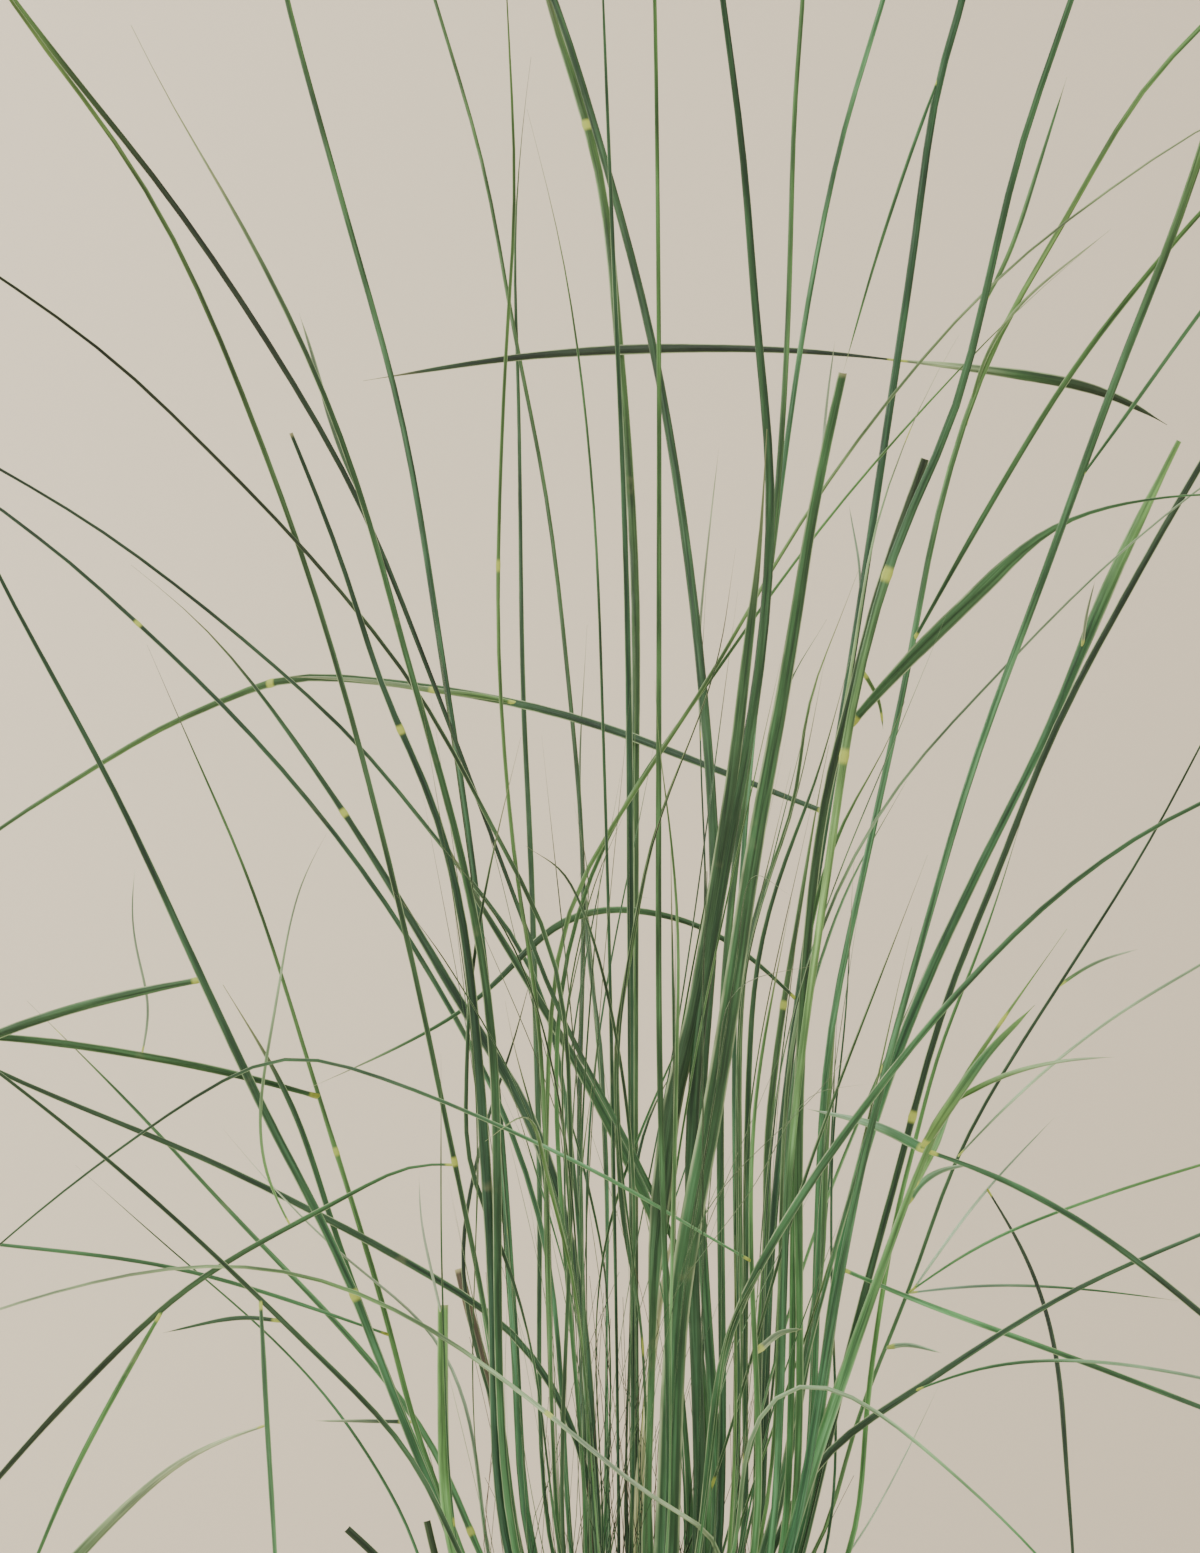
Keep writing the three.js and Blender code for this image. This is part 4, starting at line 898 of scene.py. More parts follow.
def select_points(piece, wanted):
    """Selects the points of the piece in edit mode whose place passes the test."""
    bpy.ops.mesh.select_all(action="DESELECT")
    body = bmesh.from_edit_mesh(piece.data)
    for point in body.verts:
        if wanted(point.co):
            point.select_set(True)
    body.select_flush(True)
    bmesh.update_edit_mesh(piece.data)


def close_pattern(piece, name, smooth_angle):
    """Ends edit mode with faces turned outwards, and shades the pattern."""
    bpy.ops.mesh.select_all(action="SELECT")
    bpy.ops.mesh.normals_make_consistent(inside=False)
    bpy.ops.object.mode_set(mode="OBJECT")
    bpy.ops.object.shade_smooth_by_angle(angle=smooth_angle)
    piece.name = name
    return piece


def model_blade(name, rows):
    """Unit blade along +Y: folded along its midrib, thin and closed, one half width to each side."""
    start_fresh()
    bpy.ops.mesh.primitive_grid_add(x_subdivisions=BLADE_COLUMNS, y_subdivisions=rows, size=2)
    blade = bpy.context.object
    edit_all(blade)
    bpy.ops.transform.translate(value=(0, 1, 0))
    bpy.ops.transform.resize(value=(1, 0.5, 1), center_override=(0, 0, 0))
    for reach, lift in BLADE_FOLD:
        select_points(blade, lambda place, reach=reach: abs(abs(place.x) - reach) < COLUMN_REACH)
        bpy.ops.transform.translate(value=(0, 0, lift))
    bpy.ops.object.mode_set(mode="OBJECT")
    body = blade.modifiers.new("Body", "SOLIDIFY")
    body.thickness = BLADE_BODY
    body.offset = 0
    bpy.ops.object.modifier_apply(modifier=body.name)
    edit_all(blade)
    return close_pattern(blade, name, BLADE_SMOOTH)


def model_round(name, sides, rings):
    """Unit round piece along +Y through rings of [place, radius], closed at both ends."""
    start_fresh()
    place, radius = rings[0]
    bpy.ops.mesh.primitive_circle_add(
        vertices=sides, radius=radius, fill_type="NGON", location=(0, place, 0), rotation=(math.pi / 2, 0, 0)
    )
    piece = bpy.context.object
    bpy.ops.object.transform_apply(location=True, rotation=True, scale=True)
    edit_all(piece)
    for (last_place, last_radius), (place, radius) in zip(rings, rings[1:]):
        bpy.ops.mesh.extrude_region_move(TRANSFORM_OT_translate={"value": (0, place - last_place, 0)})
        scale = radius / last_radius
        bpy.ops.transform.resize(value=(scale, 1, scale), center_override=(0, place, 0))
    return close_pattern(piece, name, ROUND_SMOOTH)


def even_rings(rows):
    """Rings of a plain unit tube."""
    return [(row / rows, 1) for row in range(rows + 1)]


def points_of(piece):
    """Places of a mesh's points."""
    places = np.zeros(len(piece.data.vertices) * 3)
    piece.data.vertices.foreach_get("co", places)
    return places.reshape(-1, 3)


def copy_of(pattern, places):
    """Copy of a pattern with its own mesh, its points at the given places in millimetres."""
    copy = pattern.copy()
    copy.data = pattern.data.copy()
    bpy.context.scene.collection.objects.link(copy)
    copy.data.vertices.foreach_set("co", (places * MM).ravel())
    return copy


def paint(piece, **values):
    """Writes values for each point of a piece: one number, or the three of a colour."""
    count = len(piece.data.vertices)
    for name, value in values.items():
        value = np.asarray(value, float)
        if value.ndim and value.shape[-1] == 3 and value.shape != (count,):
            attribute = piece.data.attributes.new(name, "FLOAT_COLOR", "POINT")
            colour = np.ones((count, 4))
            colour[:, :3] = value
            attribute.data.foreach_set("color", colour.ravel())
        else:
            attribute = piece.data.attributes.new(name, "FLOAT", "POINT")
            attribute.data.foreach_set("value", np.broadcast_to(value, count).astype(float))


def join_as(parts, name):
    """Joins the parts to one piece with that name."""
    start_fresh()
    for part in parts:
        part.select_set(True)
    bpy.context.view_layer.objects.active = parts[0]
    if len(parts) > 1:
        bpy.ops.object.join()
    piece = bpy.context.view_layer.objects.active
    piece.name = name
    piece.data.name = name
    return piece


def drop(*patterns):
    """Takes patterns out of the scene once all their copies are made."""
    for pattern in patterns:
        bpy.data.objects.remove(pattern)


def keep_inside(places):
    """Presses what would pass the CAD box back into its last few millimetres."""
    low, high = (np.array(corner) / MM for corner in CAD_BOX)
    centre = (low + high) / 2
    half = (high - low) / 2
    offset = places - centre
    free = half - EDGE_MARGIN
    over = np.maximum(np.abs(offset) - free, 0)
    pressed = free + EDGE_MARGIN * (1 - np.exp(-over / EDGE_MARGIN))
    return centre + np.where(over > 0, np.sign(offset) * pressed, offset)


def rows_at(u, places, rows):
    """Rows of vectors or colours between those at the given places."""
    return np.stack([np.interp(u, places, column) for column in np.transpose(rows)], -1)


def smooth_way(points, facing, roll, twist=ROLL_TWIST):
    """Smooth line through the points, with its length, side and normal at many places."""
    points = np.array(points, float)
    ends = np.vstack([2 * points[0] - points[1], points, 2 * points[-1] - points[-2]])
    knots = np.append(0, np.cumsum(np.sqrt(np.linalg.norm(np.diff(ends, axis=0), axis=1))))
    places = []
    for i in range(1, len(ends) - 2):
        t0, t1, t2, t3 = knots[i - 1 : i + 3]
        t = np.linspace(t1, t2, WAY_STEPS, endpoint=False)[:, None]
        a1 = ((t1 - t) * ends[i - 1] + (t - t0) * ends[i]) / (t1 - t0)
        a2 = ((t2 - t) * ends[i] + (t - t1) * ends[i + 1]) / (t2 - t1)
        a3 = ((t3 - t) * ends[i + 1] + (t - t2) * ends[i + 2]) / (t3 - t2)
        b1 = ((t2 - t) * a1 + (t - t0) * a2) / (t2 - t0)
        b2 = ((t3 - t) * a2 + (t - t1) * a3) / (t3 - t1)
        places.append(((t2 - t) * b1 + (t - t1) * b2) / (t2 - t1))
    places = np.vstack([*places, points[-1]])
    reach = np.append(0, np.cumsum(np.linalg.norm(np.diff(places, axis=0), axis=1)))
    evenly = np.linspace(0, reach[-1], max(4 * ROUNDING, round(reach[-1] / WAY_STEP)))
    places = rows_at(evenly, reach, places)
    padded = np.pad(places, ((ROUNDING, ROUNDING), (0, 0)), mode="reflect", reflect_type="odd")
    weights = np.hanning(2 * ROUNDING + 3)[1:-1]
    weights /= weights.sum()
    places = np.stack([np.convolve(padded[:, axis], weights, "valid") for axis in range(3)], 1)
    reach = np.append(0, np.cumsum(np.linalg.norm(np.diff(places, axis=0), axis=1)))
    u = reach / reach[-1]
    tangents = np.gradient(places, reach, axis=0)
    tangents /= np.linalg.norm(tangents, axis=1)[:, None]
    sides = facing - tangents * (tangents @ facing)[:, None]
    sides /= np.linalg.norm(sides, axis=1)[:, None]
    angle = (roll + twist * u)[:, None]
    sides = sides * np.cos(angle) + np.cross(tangents, sides) * np.sin(angle)
    normals = np.cross(tangents, sides)
    return SimpleNamespace(u=u, places=places, sides=sides, normals=normals, length=reach[-1])


def stations(way, rows, collars):
    """Shares of a way's length for a pattern's rows, closer together round each yellow band."""
    extra = []
    for collar in collars:
        for offset in (-COLLAR_HALF_LENGTH, 0, COLLAR_HALF_LENGTH):
            extra.append(np.clip((collar + offset) / way.length, *INNER_SHARES))
    return np.sort(np.append(np.linspace(0, 1, rows + 1 - len(extra)), extra))


def width_share(kind, u, tip):
    """Share of the full width along a strand, with a tip as fine as the real one."""
    if kind == "plume":
        return 1 - (1 - STEM_END_WIDTH) * u
    swell = BASE_WIDTH + (1 - BASE_WIDTH) * np.minimum(1, u / SWELL_END)
    if kind == "cut":
        return swell * (1 - (1 - CUT_END_WIDTH) * u)
    fine = np.clip((u - FINE_FROM) / (1 - FINE_FROM), 0, 1)
    fine = fine * fine * (3 - 2 * fine)
    return swell * np.minimum(1, TIP_WIDTH + TIP_TAPER * (1 - u)) * (1 - (1 - tip) * fine)


def lay_pattern(pattern, places, way, rows, share, width, collars=()):
    """Copy of a unit pattern bent along a way: X to the side, Y along, Z to the normal."""
    u = np.interp(places[:, 1], np.linspace(0, 1, rows + 1), stations(way, rows, collars))
    half = share(u) * width / 2
    for collar in collars:
        away = (u * way.length - collar) / COLLAR_HALF_LENGTH
        half = half * (1 + COLLAR_SWELL * np.exp(-(away**2)))
    centre = rows_at(u, way.u, way.places)
    side = rows_at(u, way.u, way.sides) * (places[:, 0] * half)[:, None]
    normal = rows_at(u, way.u, way.normals) * (places[:, 2] * half)[:, None]
    return copy_of(pattern, keep_inside(centre + side + normal)), u


def collars_and_highlights_of(strand, way):
    """Yellow bands of a strand, for real nodes and for painted highlights: at its fork, and at the places
    read from the photo.
    """
    found = [FORK_COLLAR] if strand.forked else []
    return found + [reach for reach in strand.read_collars if reach < way.length - COLLAR_HALF_LENGTH]


def share_out_collars_and_highlights(tillers):
    """Gives each yellow band read from the photo, real nodes and painted highlights alike, to the strand
    that passes nearest to it.
    """
    strands = strands_of(tillers)
    for strand in strands:
        roll = math.pi / 2 + READ_ROLL * (strand.roll - math.pi / 2) if strand.tones else strand.roll
        twist = READ_ROLL * ROLL_TWIST if strand.tones else ROLL_TWIST
        strand.way = smooth_way(strand.points, strand.facing, roll, twist)
        strand.seen = np.array([to_view(place) for place in strand.way.places])
        strand.read_collars = []
        strand.collar_half = COLLAR_HALF_LENGTH
    for x, z, *half in COLLARS_AND_HIGHLIGHTS:
        gaps = [np.linalg.norm(strand.seen - [x, z], axis=1) for strand in strands]
        best = min(range(len(strands)), key=lambda i: gaps[i].min())
        if gaps[best].min() < COLLAR_REACH:
            way = strands[best].way
            strands[best].read_collars.append(way.u[gaps[best].argmin()] * way.length)
            strands[best].collar_half = max([strands[best].collar_half, *half])


# How dark and how light a blade's streaks are beside its tint; the dark one also colours the veins and the
# painted shade down the middle
DARK_STREAK_AND_FOLD_SHADE = (0.4, 0.44, 0.46)
LIGHT_STREAK = (1.6, 1.5, 1.75)

# Kinds of the groups' sockets
VALUE = "NodeSocketFloat"
COLOUR = "NodeSocketColor"

# Patterns of the finishes: a scale is in features for each metre, a span is where a value starts
# and ends its rise or fall, a share is how strongly it shows, and a depth is that of the bump.
# A roughness is a scale with the least and the most
NOISE_SPAN = (0.3, 0.7)
BROAD_STREAKS = {"Fineness": 1.3, "Stretch": 0.035}
FINE_STREAKS = {"Fineness": 4.5, "Stretch": 0.06}
MARGIN_STREAKS = {"Fineness": 0.5, "Stretch": 0.09}
VEIN_COUNT = 21.0
VEIN_SHARE = 0.12
VEIN_DEPTH = 0.00004
FOLD_SHADE_SPAN = (0.6, 0.1)
FOLD_SHADE_SHARE = 0.3
DARK_SPAN = (0.52, 0.38)
DARK_SHARE = 0.65
LIGHT_SPAN = (0.52, 0.68)
LIGHT_SHARE = 0.7
LINE_SPAN = (0.58, 0.68)
LINE_SHARE = 0.35
MARGIN_SPAN = (0.72, 0.95)
MARGIN_NOISE_SPAN = (0.35, 0.6, 0.35, 1.0)
RIM_SCALE = 70.0
FOOT_SPAN = (0.16, 0.0, 0.0, 0.5)
PATCH_SCALE = 90.0
PATCH_SPAN = (0.64, 0.76)
PATCH_SHARE = 0.3
BAND_SPAN = (1.0, 0.35)
COLLAR_AND_HIGHLIGHT_SHARE = 0.75
LEAF_MOTTLE = {"Scale": 42.0, "Spread": 0.25}
LEAF_ROUGHNESS = (160.0, 0.42, 0.6)
PLUME_MOTTLE = {"Scale": 45.0, "Spread": 0.07}
PLUME_ROUGHNESS = (300.0, 0.7, 0.9)
GREEN_SHARE = 0.8
POT_MOTTLE = {"Scale": 9.0, "Spread": 0.06}
POT_ROUGHNESS = (60.0, 0.52, 0.7)
SPECK_SCALE = 520.0
SPECK_SPAN = (0.66, 0.72)
SPECK_SHARE = 0.55
RUBBED_RIM = ((0.2065, 0.21), 120.0, 0.6)
SOILED_FOOT = ((0.03, 0.0), 40.0, 0.45)
THROWING_SCALE = 14.0
THROWING_STRETCH = (0.4, 0.4, 30.0)
GRAIN_SCALE = 900.0
GRAIN_SHARE = 0.35
CLAY_DEPTH = 0.0004
SOIL_MOTTLE = {"Scale": 70.0, "Spread": 0.3}
SOIL_ROUGHNESS = (500.0, 0.8, 1.0)
BROWN_SCALE = 260.0
BROWN_SPAN = (0.35, 0.7)
FIBRE_SCALE = 700.0
FIBRE_DEPTH = 0.0008
FIBRE_STRENGTH = 0.8


def linear(code):
    """Linear colour from the six hex digits of a screen colour."""
    shares = [int(code[i : i + 2], 16) / 255 for i in (0, 2, 4)]
    return tuple(share / 12.92 if share <= 0.04045 else ((share + 0.055) / 1.055) ** 2.4 for share in shares)


def add_node(tree, kind, inputs=None, **settings):
    """Adds a node. An input is a value, or the output socket that feeds it."""
    made = tree.nodes.new(kind)
    for name, value in settings.items():
        setattr(made, name, value)
    for name, value in (inputs or {}).items():
        if isinstance(value, bpy.types.NodeSocket):
            tree.links.new(value, made.inputs[name])
        else:
            made.inputs[name].default_value = value
    return made


def maths(tree, operation, *values, clamp=False):
    """Output of a Math node."""
    inputs = dict(enumerate(values))
    return add_node(tree, "ShaderNodeMath", inputs, operation=operation, use_clamp=clamp).outputs[0]


def mixed(tree, factor, first, second, blend="MIX"):
    """Output of a Mix node for colours."""
    inputs = {0: factor, 6: first, 7: second}
    return add_node(tree, "ShaderNodeMix", inputs, data_type="RGBA", blend_type=blend).outputs[2]


def ramped(tree, value, start, end, low=0.0, high=1.0):
    """A smooth rise of a value between two places, from low to high."""
    inputs = {"Value": value, "From Min": start, "From Max": end, "To Min": low, "To Max": high}
    return add_node(tree, "ShaderNodeMapRange", inputs, interpolation_type="SMOOTHSTEP").outputs[0]


def noise(tree, scale, detail=3.0, stretch=None):
    """Output of a noise on Object coordinates, the scale in features for each metre."""
    place = add_node(tree, "ShaderNodeTexCoord").outputs["Object"]
    if stretch:
        place = add_node(tree, "ShaderNodeMapping", {"Vector": place, "Scale": stretch}).outputs[0]
    inputs = {"Vector": place, "Scale": scale, "Detail": detail}
    return add_node(tree, "ShaderNodeTexNoise", inputs).outputs[0]


def read(tree, name, output="Fac"):
    """Output of an attribute of the piece."""
    return add_node(tree, "ShaderNodeAttribute", attribute_name=name).outputs[output]


def new_group(name, inputs, outputs):
    """Empty shader node group with named sockets, and its input and output nodes."""
    group = bpy.data.node_groups.new(name, "ShaderNodeTree")
    for socket, kind in inputs.items():
        group.interface.new_socket(socket, in_out="INPUT", socket_type=kind)
    for socket, kind in outputs.items():
        group.interface.new_socket(socket, in_out="OUTPUT", socket_type=kind)
    return group, group.nodes.new("NodeGroupInput").outputs, group.nodes.new("NodeGroupOutput").inputs


def times(tree, first, second):
    """Product of two values."""
    return maths(tree, "MULTIPLY", first, second)


def tinted(tree, factor, colour, tint):
    """A colour with a plain tint laid over it."""
    return mixed(tree, factor, colour, (*tint, 1))


def make_mottle_group():
    """Lighter and darker patches of a colour."""
    kinds = {"Color": COLOUR, "Scale": VALUE, "Spread": VALUE}
    group, given, out = new_group("Mottle", kinds, {"Color": COLOUR})
    patches = ramped(group, noise(group, given["Scale"]), *NOISE_SPAN, -1.0, 1.0)
    light = maths(group, "MULTIPLY_ADD", patches, given["Spread"], 1.0)
    shade = add_node(group, "ShaderNodeCombineColor", {0: light, 1: light, 2: light}).outputs[0]
    group.links.new(mixed(group, 1.0, given["Color"], shade, "MULTIPLY"), out["Color"])
    return group


def make_vein_group():
    """Fine lengthwise veins across a blade or round a stem."""
    group, given, out = new_group("Veins", {"Across": VALUE, "Count": VALUE}, {"Mask": VALUE})
    wave = maths(group, "SINE", times(group, given["Across"], given["Count"]))
    group.links.new(maths(group, "MULTIPLY_ADD", wave, 0.5, 0.5), out["Mask"])
    return group


def make_band_group():
    """Soft band round a place along a strand."""
    kinds = {"Reach": VALUE, "Place": VALUE, "Half length": VALUE}
    group, given, out = new_group("Band", kinds, {"Mask": VALUE})
    gap = maths(group, "ABSOLUTE", maths(group, "SUBTRACT", given["Reach"], given["Place"]))
    share = maths(group, "DIVIDE", gap, given["Half length"])
    group.links.new(ramped(group, share, *BAND_SPAN), out["Mask"])
    return group


def use_group(tree, group, inputs):
    """First output of a group placed in a material."""
    return add_node(tree, "ShaderNodeGroup", inputs, node_tree=group).outputs[0]


def new_material(name, roughness, **sockets):
    """Material with its node tree and its Principled shader."""
    material = bpy.data.materials.new(name)
    material.use_nodes = True
    shader = material.node_tree.nodes["Principled BSDF"]
    shader.inputs["Roughness"].default_value = roughness
    for socket, value in sockets.items():
        shader.inputs[socket.replace("_", " ")].default_value = value
    return material, material.node_tree, shader


def bump(tree, shader, height, distance, strength=0.5):
    """Feeds a height to the shader's normal."""
    inputs = {"Height": height, "Distance": distance, "Strength": strength}
    tree.links.new(add_node(tree, "ShaderNodeBump", inputs).outputs[0], shader.inputs["Normal"])


def finish_surface(tree, shader, colour, roughness):
    """Feeds the colour, and a roughness that varies between two values, to the shader."""
    scale, low, high = roughness
    tree.links.new(colour, shader.inputs["Base Color"])
    uneven = ramped(tree, noise(tree, scale), *NOISE_SPAN, low, high)
    tree.links.new(uneven, shader.inputs["Roughness"])


def make_streak_group():
    """Noise drawn out along a strand, in its own places across and along it."""
    kinds = {"Aside": VALUE, "Reach": VALUE, "Lot": VALUE, "Fineness": VALUE, "Stretch": VALUE}
    group, given, out = new_group("Streaks", kinds, {"Value": VALUE})
    aside = times(group, given["Aside"], given["Fineness"])
    reach = times(group, given["Reach"], given["Stretch"])
    place = add_node(group, "ShaderNodeCombineXYZ", {0: aside, 1: reach, 2: given["Lot"]}).outputs[0]
    inputs = {"Vector": place, "Scale": 1.0, "Detail": 2.0}
    group.links.new(add_node(group, "ShaderNodeTexNoise", inputs).outputs[0], out["Value"])
    return group


def scaled(tree, colour, factors):
    """A colour with its red, green and blue each made stronger or weaker."""
    return add_node(tree, "ShaderNodeVectorMath", {0: colour, 1: factors}, operation="MULTIPLY").outputs[0]


def make_leaf_finish(groups, colours):
    """Living grass: streaks, veins, a painted shade down the middle, light margins that are partly painted
    highlight, pale foot, dry tip, and yellow bands for nodes and painted highlights.
    """
    material, tree, shader = new_material("grass blade", 0.5, Specular_IOR_Level=0.35)
    tint = read(tree, "tint", "Color")
    side, share, reach, dry = [read(tree, name) for name in ("across", "share", "reach", "dry")]
    strand = {"Aside": read(tree, "aside"), "Reach": reach, "Lot": read(tree, "lot")}
    edge = maths(tree, "ABSOLUTE", side)
    streaks = use_group(tree, groups.streaks, {**strand, **BROAD_STREAKS})
    lines = use_group(tree, groups.streaks, {**strand, **FINE_STREAKS})
    margin_noise = use_group(tree, groups.streaks, {**strand, **MARGIN_STREAKS})
    veins = use_group(tree, groups.veins, {"Across": side, "Count": VEIN_COUNT})
    # Painted shade down the middle of each blade's fold, and down one side of each stem
    painted_fold_shade = times(tree, ramped(tree, edge, *FOLD_SHADE_SPAN), FOLD_SHADE_SHARE)
    # Dark mask: random streaks and veins, with the painted shade of the fold added
    dark = maths(tree, "MULTIPLY_ADD", ramped(tree, streaks, *DARK_SPAN), DARK_SHARE, painted_fold_shade)
    dark = maths(tree, "MULTIPLY_ADD", veins, VEIN_SHARE, dark, clamp=True)
    colour = mixed(tree, dark, tint, scaled(tree, tint, DARK_STREAK_AND_FOLD_SHADE))
    for value, span, share_seen in ((streaks, LIGHT_SPAN, LIGHT_SHARE), (lines, LINE_SPAN, LINE_SHARE)):
        light = times(tree, ramped(tree, value, *span), share_seen)
        colour = mixed(tree, light, colour, scaled(tree, tint, LIGHT_STREAK))
    colour = use_group(tree, groups.mottle, {"Color": colour, **LEAF_MOTTLE})
    # Light margins: partly the blades' own pale edges, partly painted highlight along them; on stems only a
    # painted highlight line down one side
    margin_and_highlight_tint = mixed(tree, noise(tree, RIM_SCALE), (*colours.margin, 1), (*colours.pale, 1))
    margin_and_highlight_mask = times(tree, ramped(tree, margin_noise, *MARGIN_NOISE_SPAN), read(tree, "margin"))
    colour = mixed(tree, times(tree, ramped(tree, edge, *MARGIN_SPAN), margin_and_highlight_mask), colour, margin_and_highlight_tint)
    foot = times(tree, ramped(tree, share, *FOOT_SPAN), read(tree, "rooted"))
    colour = tinted(tree, foot, colour, colours.foot)
    tip = times(tree, ramped(tree, share, read(tree, "tip_start"), 1.0), dry)
    colour = tinted(tree, tip, colour, colours.straw)
    patches = times(tree, ramped(tree, noise(tree, PATCH_SCALE), *PATCH_SPAN), dry)
    colour = tinted(tree, times(tree, patches, PATCH_SHARE), colour, colours.straw)
    # Yellow bands at the nodes, some of them painted highlights on the strands
    for name in ("first_collar", "second_collar"):
        inputs = {"Reach": reach, "Place": read(tree, name), "Half length": read(tree, "collar_half")}
        band = times(tree, use_group(tree, groups.band, inputs), COLLAR_AND_HIGHLIGHT_SHARE)
        colour = tinted(tree, band, colour, colours.collar)
    finish_surface(tree, shader, colour, LEAF_ROUGHNESS)
    bump(tree, shader, maths(tree, "ADD", veins, streaks), VEIN_DEPTH)
    return material


def make_plume_finish(groups, colours):
    """White papery husks on pale hair-fine branches."""
    material, tree, shader = new_material("plume husk", 0.8, Sheen_Weight=0.3, Specular_IOR_Level=0.2)
    colour = mixed(tree, read(tree, "husk"), (*colours.plume_stalk, 1), (*colours.plume, 1))
    colour = tinted(tree, times(tree, read(tree, "greenness"), GREEN_SHARE), colour, colours.foot)
    colour = use_group(tree, groups.mottle, {"Color": colour, **PLUME_MOTTLE})
    finish_surface(tree, shader, colour, PLUME_ROUGHNESS)
    return material


def make_pot_finish(groups, colours):
    """Matt fired clay with fine dark specks, faint throwing lines and a paler rubbed rim."""
    material, tree, shader = new_material("matt stoneware", 0.6, Specular_IOR_Level=0.4)
    colour = use_group(tree, groups.mottle, {"Color": (*colours.pot, 1), **POT_MOTTLE})
    specks = ramped(tree, noise(tree, SPECK_SCALE, 2.0), *SPECK_SPAN)
    colour = tinted(tree, times(tree, specks, SPECK_SHARE), colour, colours.pot_speck)
    place = add_node(tree, "ShaderNodeTexCoord").outputs["Object"]
    height = add_node(tree, "ShaderNodeSeparateXYZ", {0: place}).outputs[2]
    for span, scale, share, tint in ((*RUBBED_RIM, colours.pot_wear), (*SOILED_FOOT, colours.soil)):
        uneven = times(tree, noise(tree, scale), share)
        colour = tinted(tree, times(tree, ramped(tree, height, *span), uneven), colour, tint)
    finish_surface(tree, shader, colour, POT_ROUGHNESS)
    lines = noise(tree, THROWING_SCALE, 2.0, THROWING_STRETCH)
    grain = noise(tree, GRAIN_SCALE, 2.0)
    bump(tree, shader, maths(tree, "MULTIPLY_ADD", grain, GRAIN_SHARE, lines), CLAY_DEPTH)
    return material


def make_soil_finish(groups, colours):
    """Damp potting soil with fibres, in crumbs of uneven brown."""
    material, tree, shader = new_material("potting soil", 0.92, Specular_IOR_Level=0.25)
    dryness = ramped(tree, noise(tree, BROWN_SCALE), *BROWN_SPAN)
    brown = mixed(tree, dryness, (*colours.soil, 1), (*colours.soil_light, 1))
    colour = mixed(tree, read(tree, "chip"), brown, read(tree, "tint", "Color"))
    colour = use_group(tree, groups.mottle, {"Color": colour, **SOIL_MOTTLE})
    finish_surface(tree, shader, colour, SOIL_ROUGHNESS)
    bump(tree, shader, noise(tree, FIBRE_SCALE, 6.0), FIBRE_DEPTH, FIBRE_STRENGTH)
    return material


def make_wall_finish(colours):
    """Plain painted wall, seen from its front only."""
    material, tree, shader = new_material("plain wall", 0.95, Specular_IOR_Level=0.1)
    shader.inputs["Base Color"].default_value = (*colours.wall, 1)
    clear = add_node(tree, "ShaderNodeBsdfTransparent").outputs[0]
    behind = add_node(tree, "ShaderNodeNewGeometry").outputs["Backfacing"]
    both = add_node(tree, "ShaderNodeMixShader", {0: behind, 1: shader.outputs[0], 2: clear}).outputs[0]
    tree.links.new(both, tree.nodes["Material Output"].inputs["Surface"])
    return material


def make_floor_finish(colours):
    """Plain pale floor."""
    material, _, shader = new_material("plain floor", 0.9, Specular_IOR_Level=0.1)
    shader.inputs["Base Color"].default_value = (*colours.floor, 1)
    return material


def hand_over(piece, material):
    """Gives a piece its only material, and lets it ride on the body."""
    piece.data.materials.clear()
    piece.data.materials.append(material)
    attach(piece, "root")


# How strands, scales, threads, crumbs and twigs are drawn, in millimetres, shares and radians
FULL_TONES = ("green", "deep green", "blue green", "green lime", "deep lime", "green deep", "blue lime")
THIN_TONES = ("deep", "green", "deep green", "green deep")
FULL_PART = 0.3
FULL_SHARE = (1.1, 1.6)
THIN_SHARE = (0.5, 0.8)
FILL_PLACES = (-60, -10, 16, 34, 60)
FILL_AT_PLACES = (0.4, 0.5, 0.6, 0.9, 1.15)
FILL_SWELL = (0.65, 1.0, 1.4)
READ_SHARE = 1.1
FOOT_PLACES = (-46, -34, 10, 20, 52, 75)
FOOT_AT_PLACES = (1, 0.92, 0.9, 1, 1.2, 1)
FINE_FOOT = (1, 0.4, 0.35, 0.65, 0.8, 1)
FOOT_HEIGHTS = (265, 285, 325, 358)
FOOT_AT_HEIGHTS = (0.5, 1, 1, 0)
# Painted light and shade on the strands: lighter towards the foot, darker towards the top, darker and warmer
# on the left, a little lighter on the right
PAINTED_LIGHT_HEIGHTS = (300, 390, 500, 600)
PAINTED_LIGHT_BY_HEIGHT = ((1.24, 1.35, 1.4), (0.9, 0.92, 1), (0.76, 0.76, 0.82), (0.68, 0.7, 0.68))
PAINTED_LIGHT_SIDES = (-110, -10, 90)
PAINTED_LIGHT_BY_SIDE = ((0.88, 0.85, 0.77), (1, 1, 1), (1.04, 1.08, 1.03))
CUT_END_LENGTH = 1.5
LOT_SPREAD = 90
TONE_FROM = 0.15
TINT_SPREAD = (0.82, 1.18)
HUE_SPREAD = (0.9, 1.12)
DRY_TONES = {"straw": 1.0, "brown": 0.9, "pale": 0.35, "dark": 0.0, "blue": 0.0, "bright": 0.0}
LIVE_DRYNESS = (0.05, 0.5)
TIP_START = 0.86
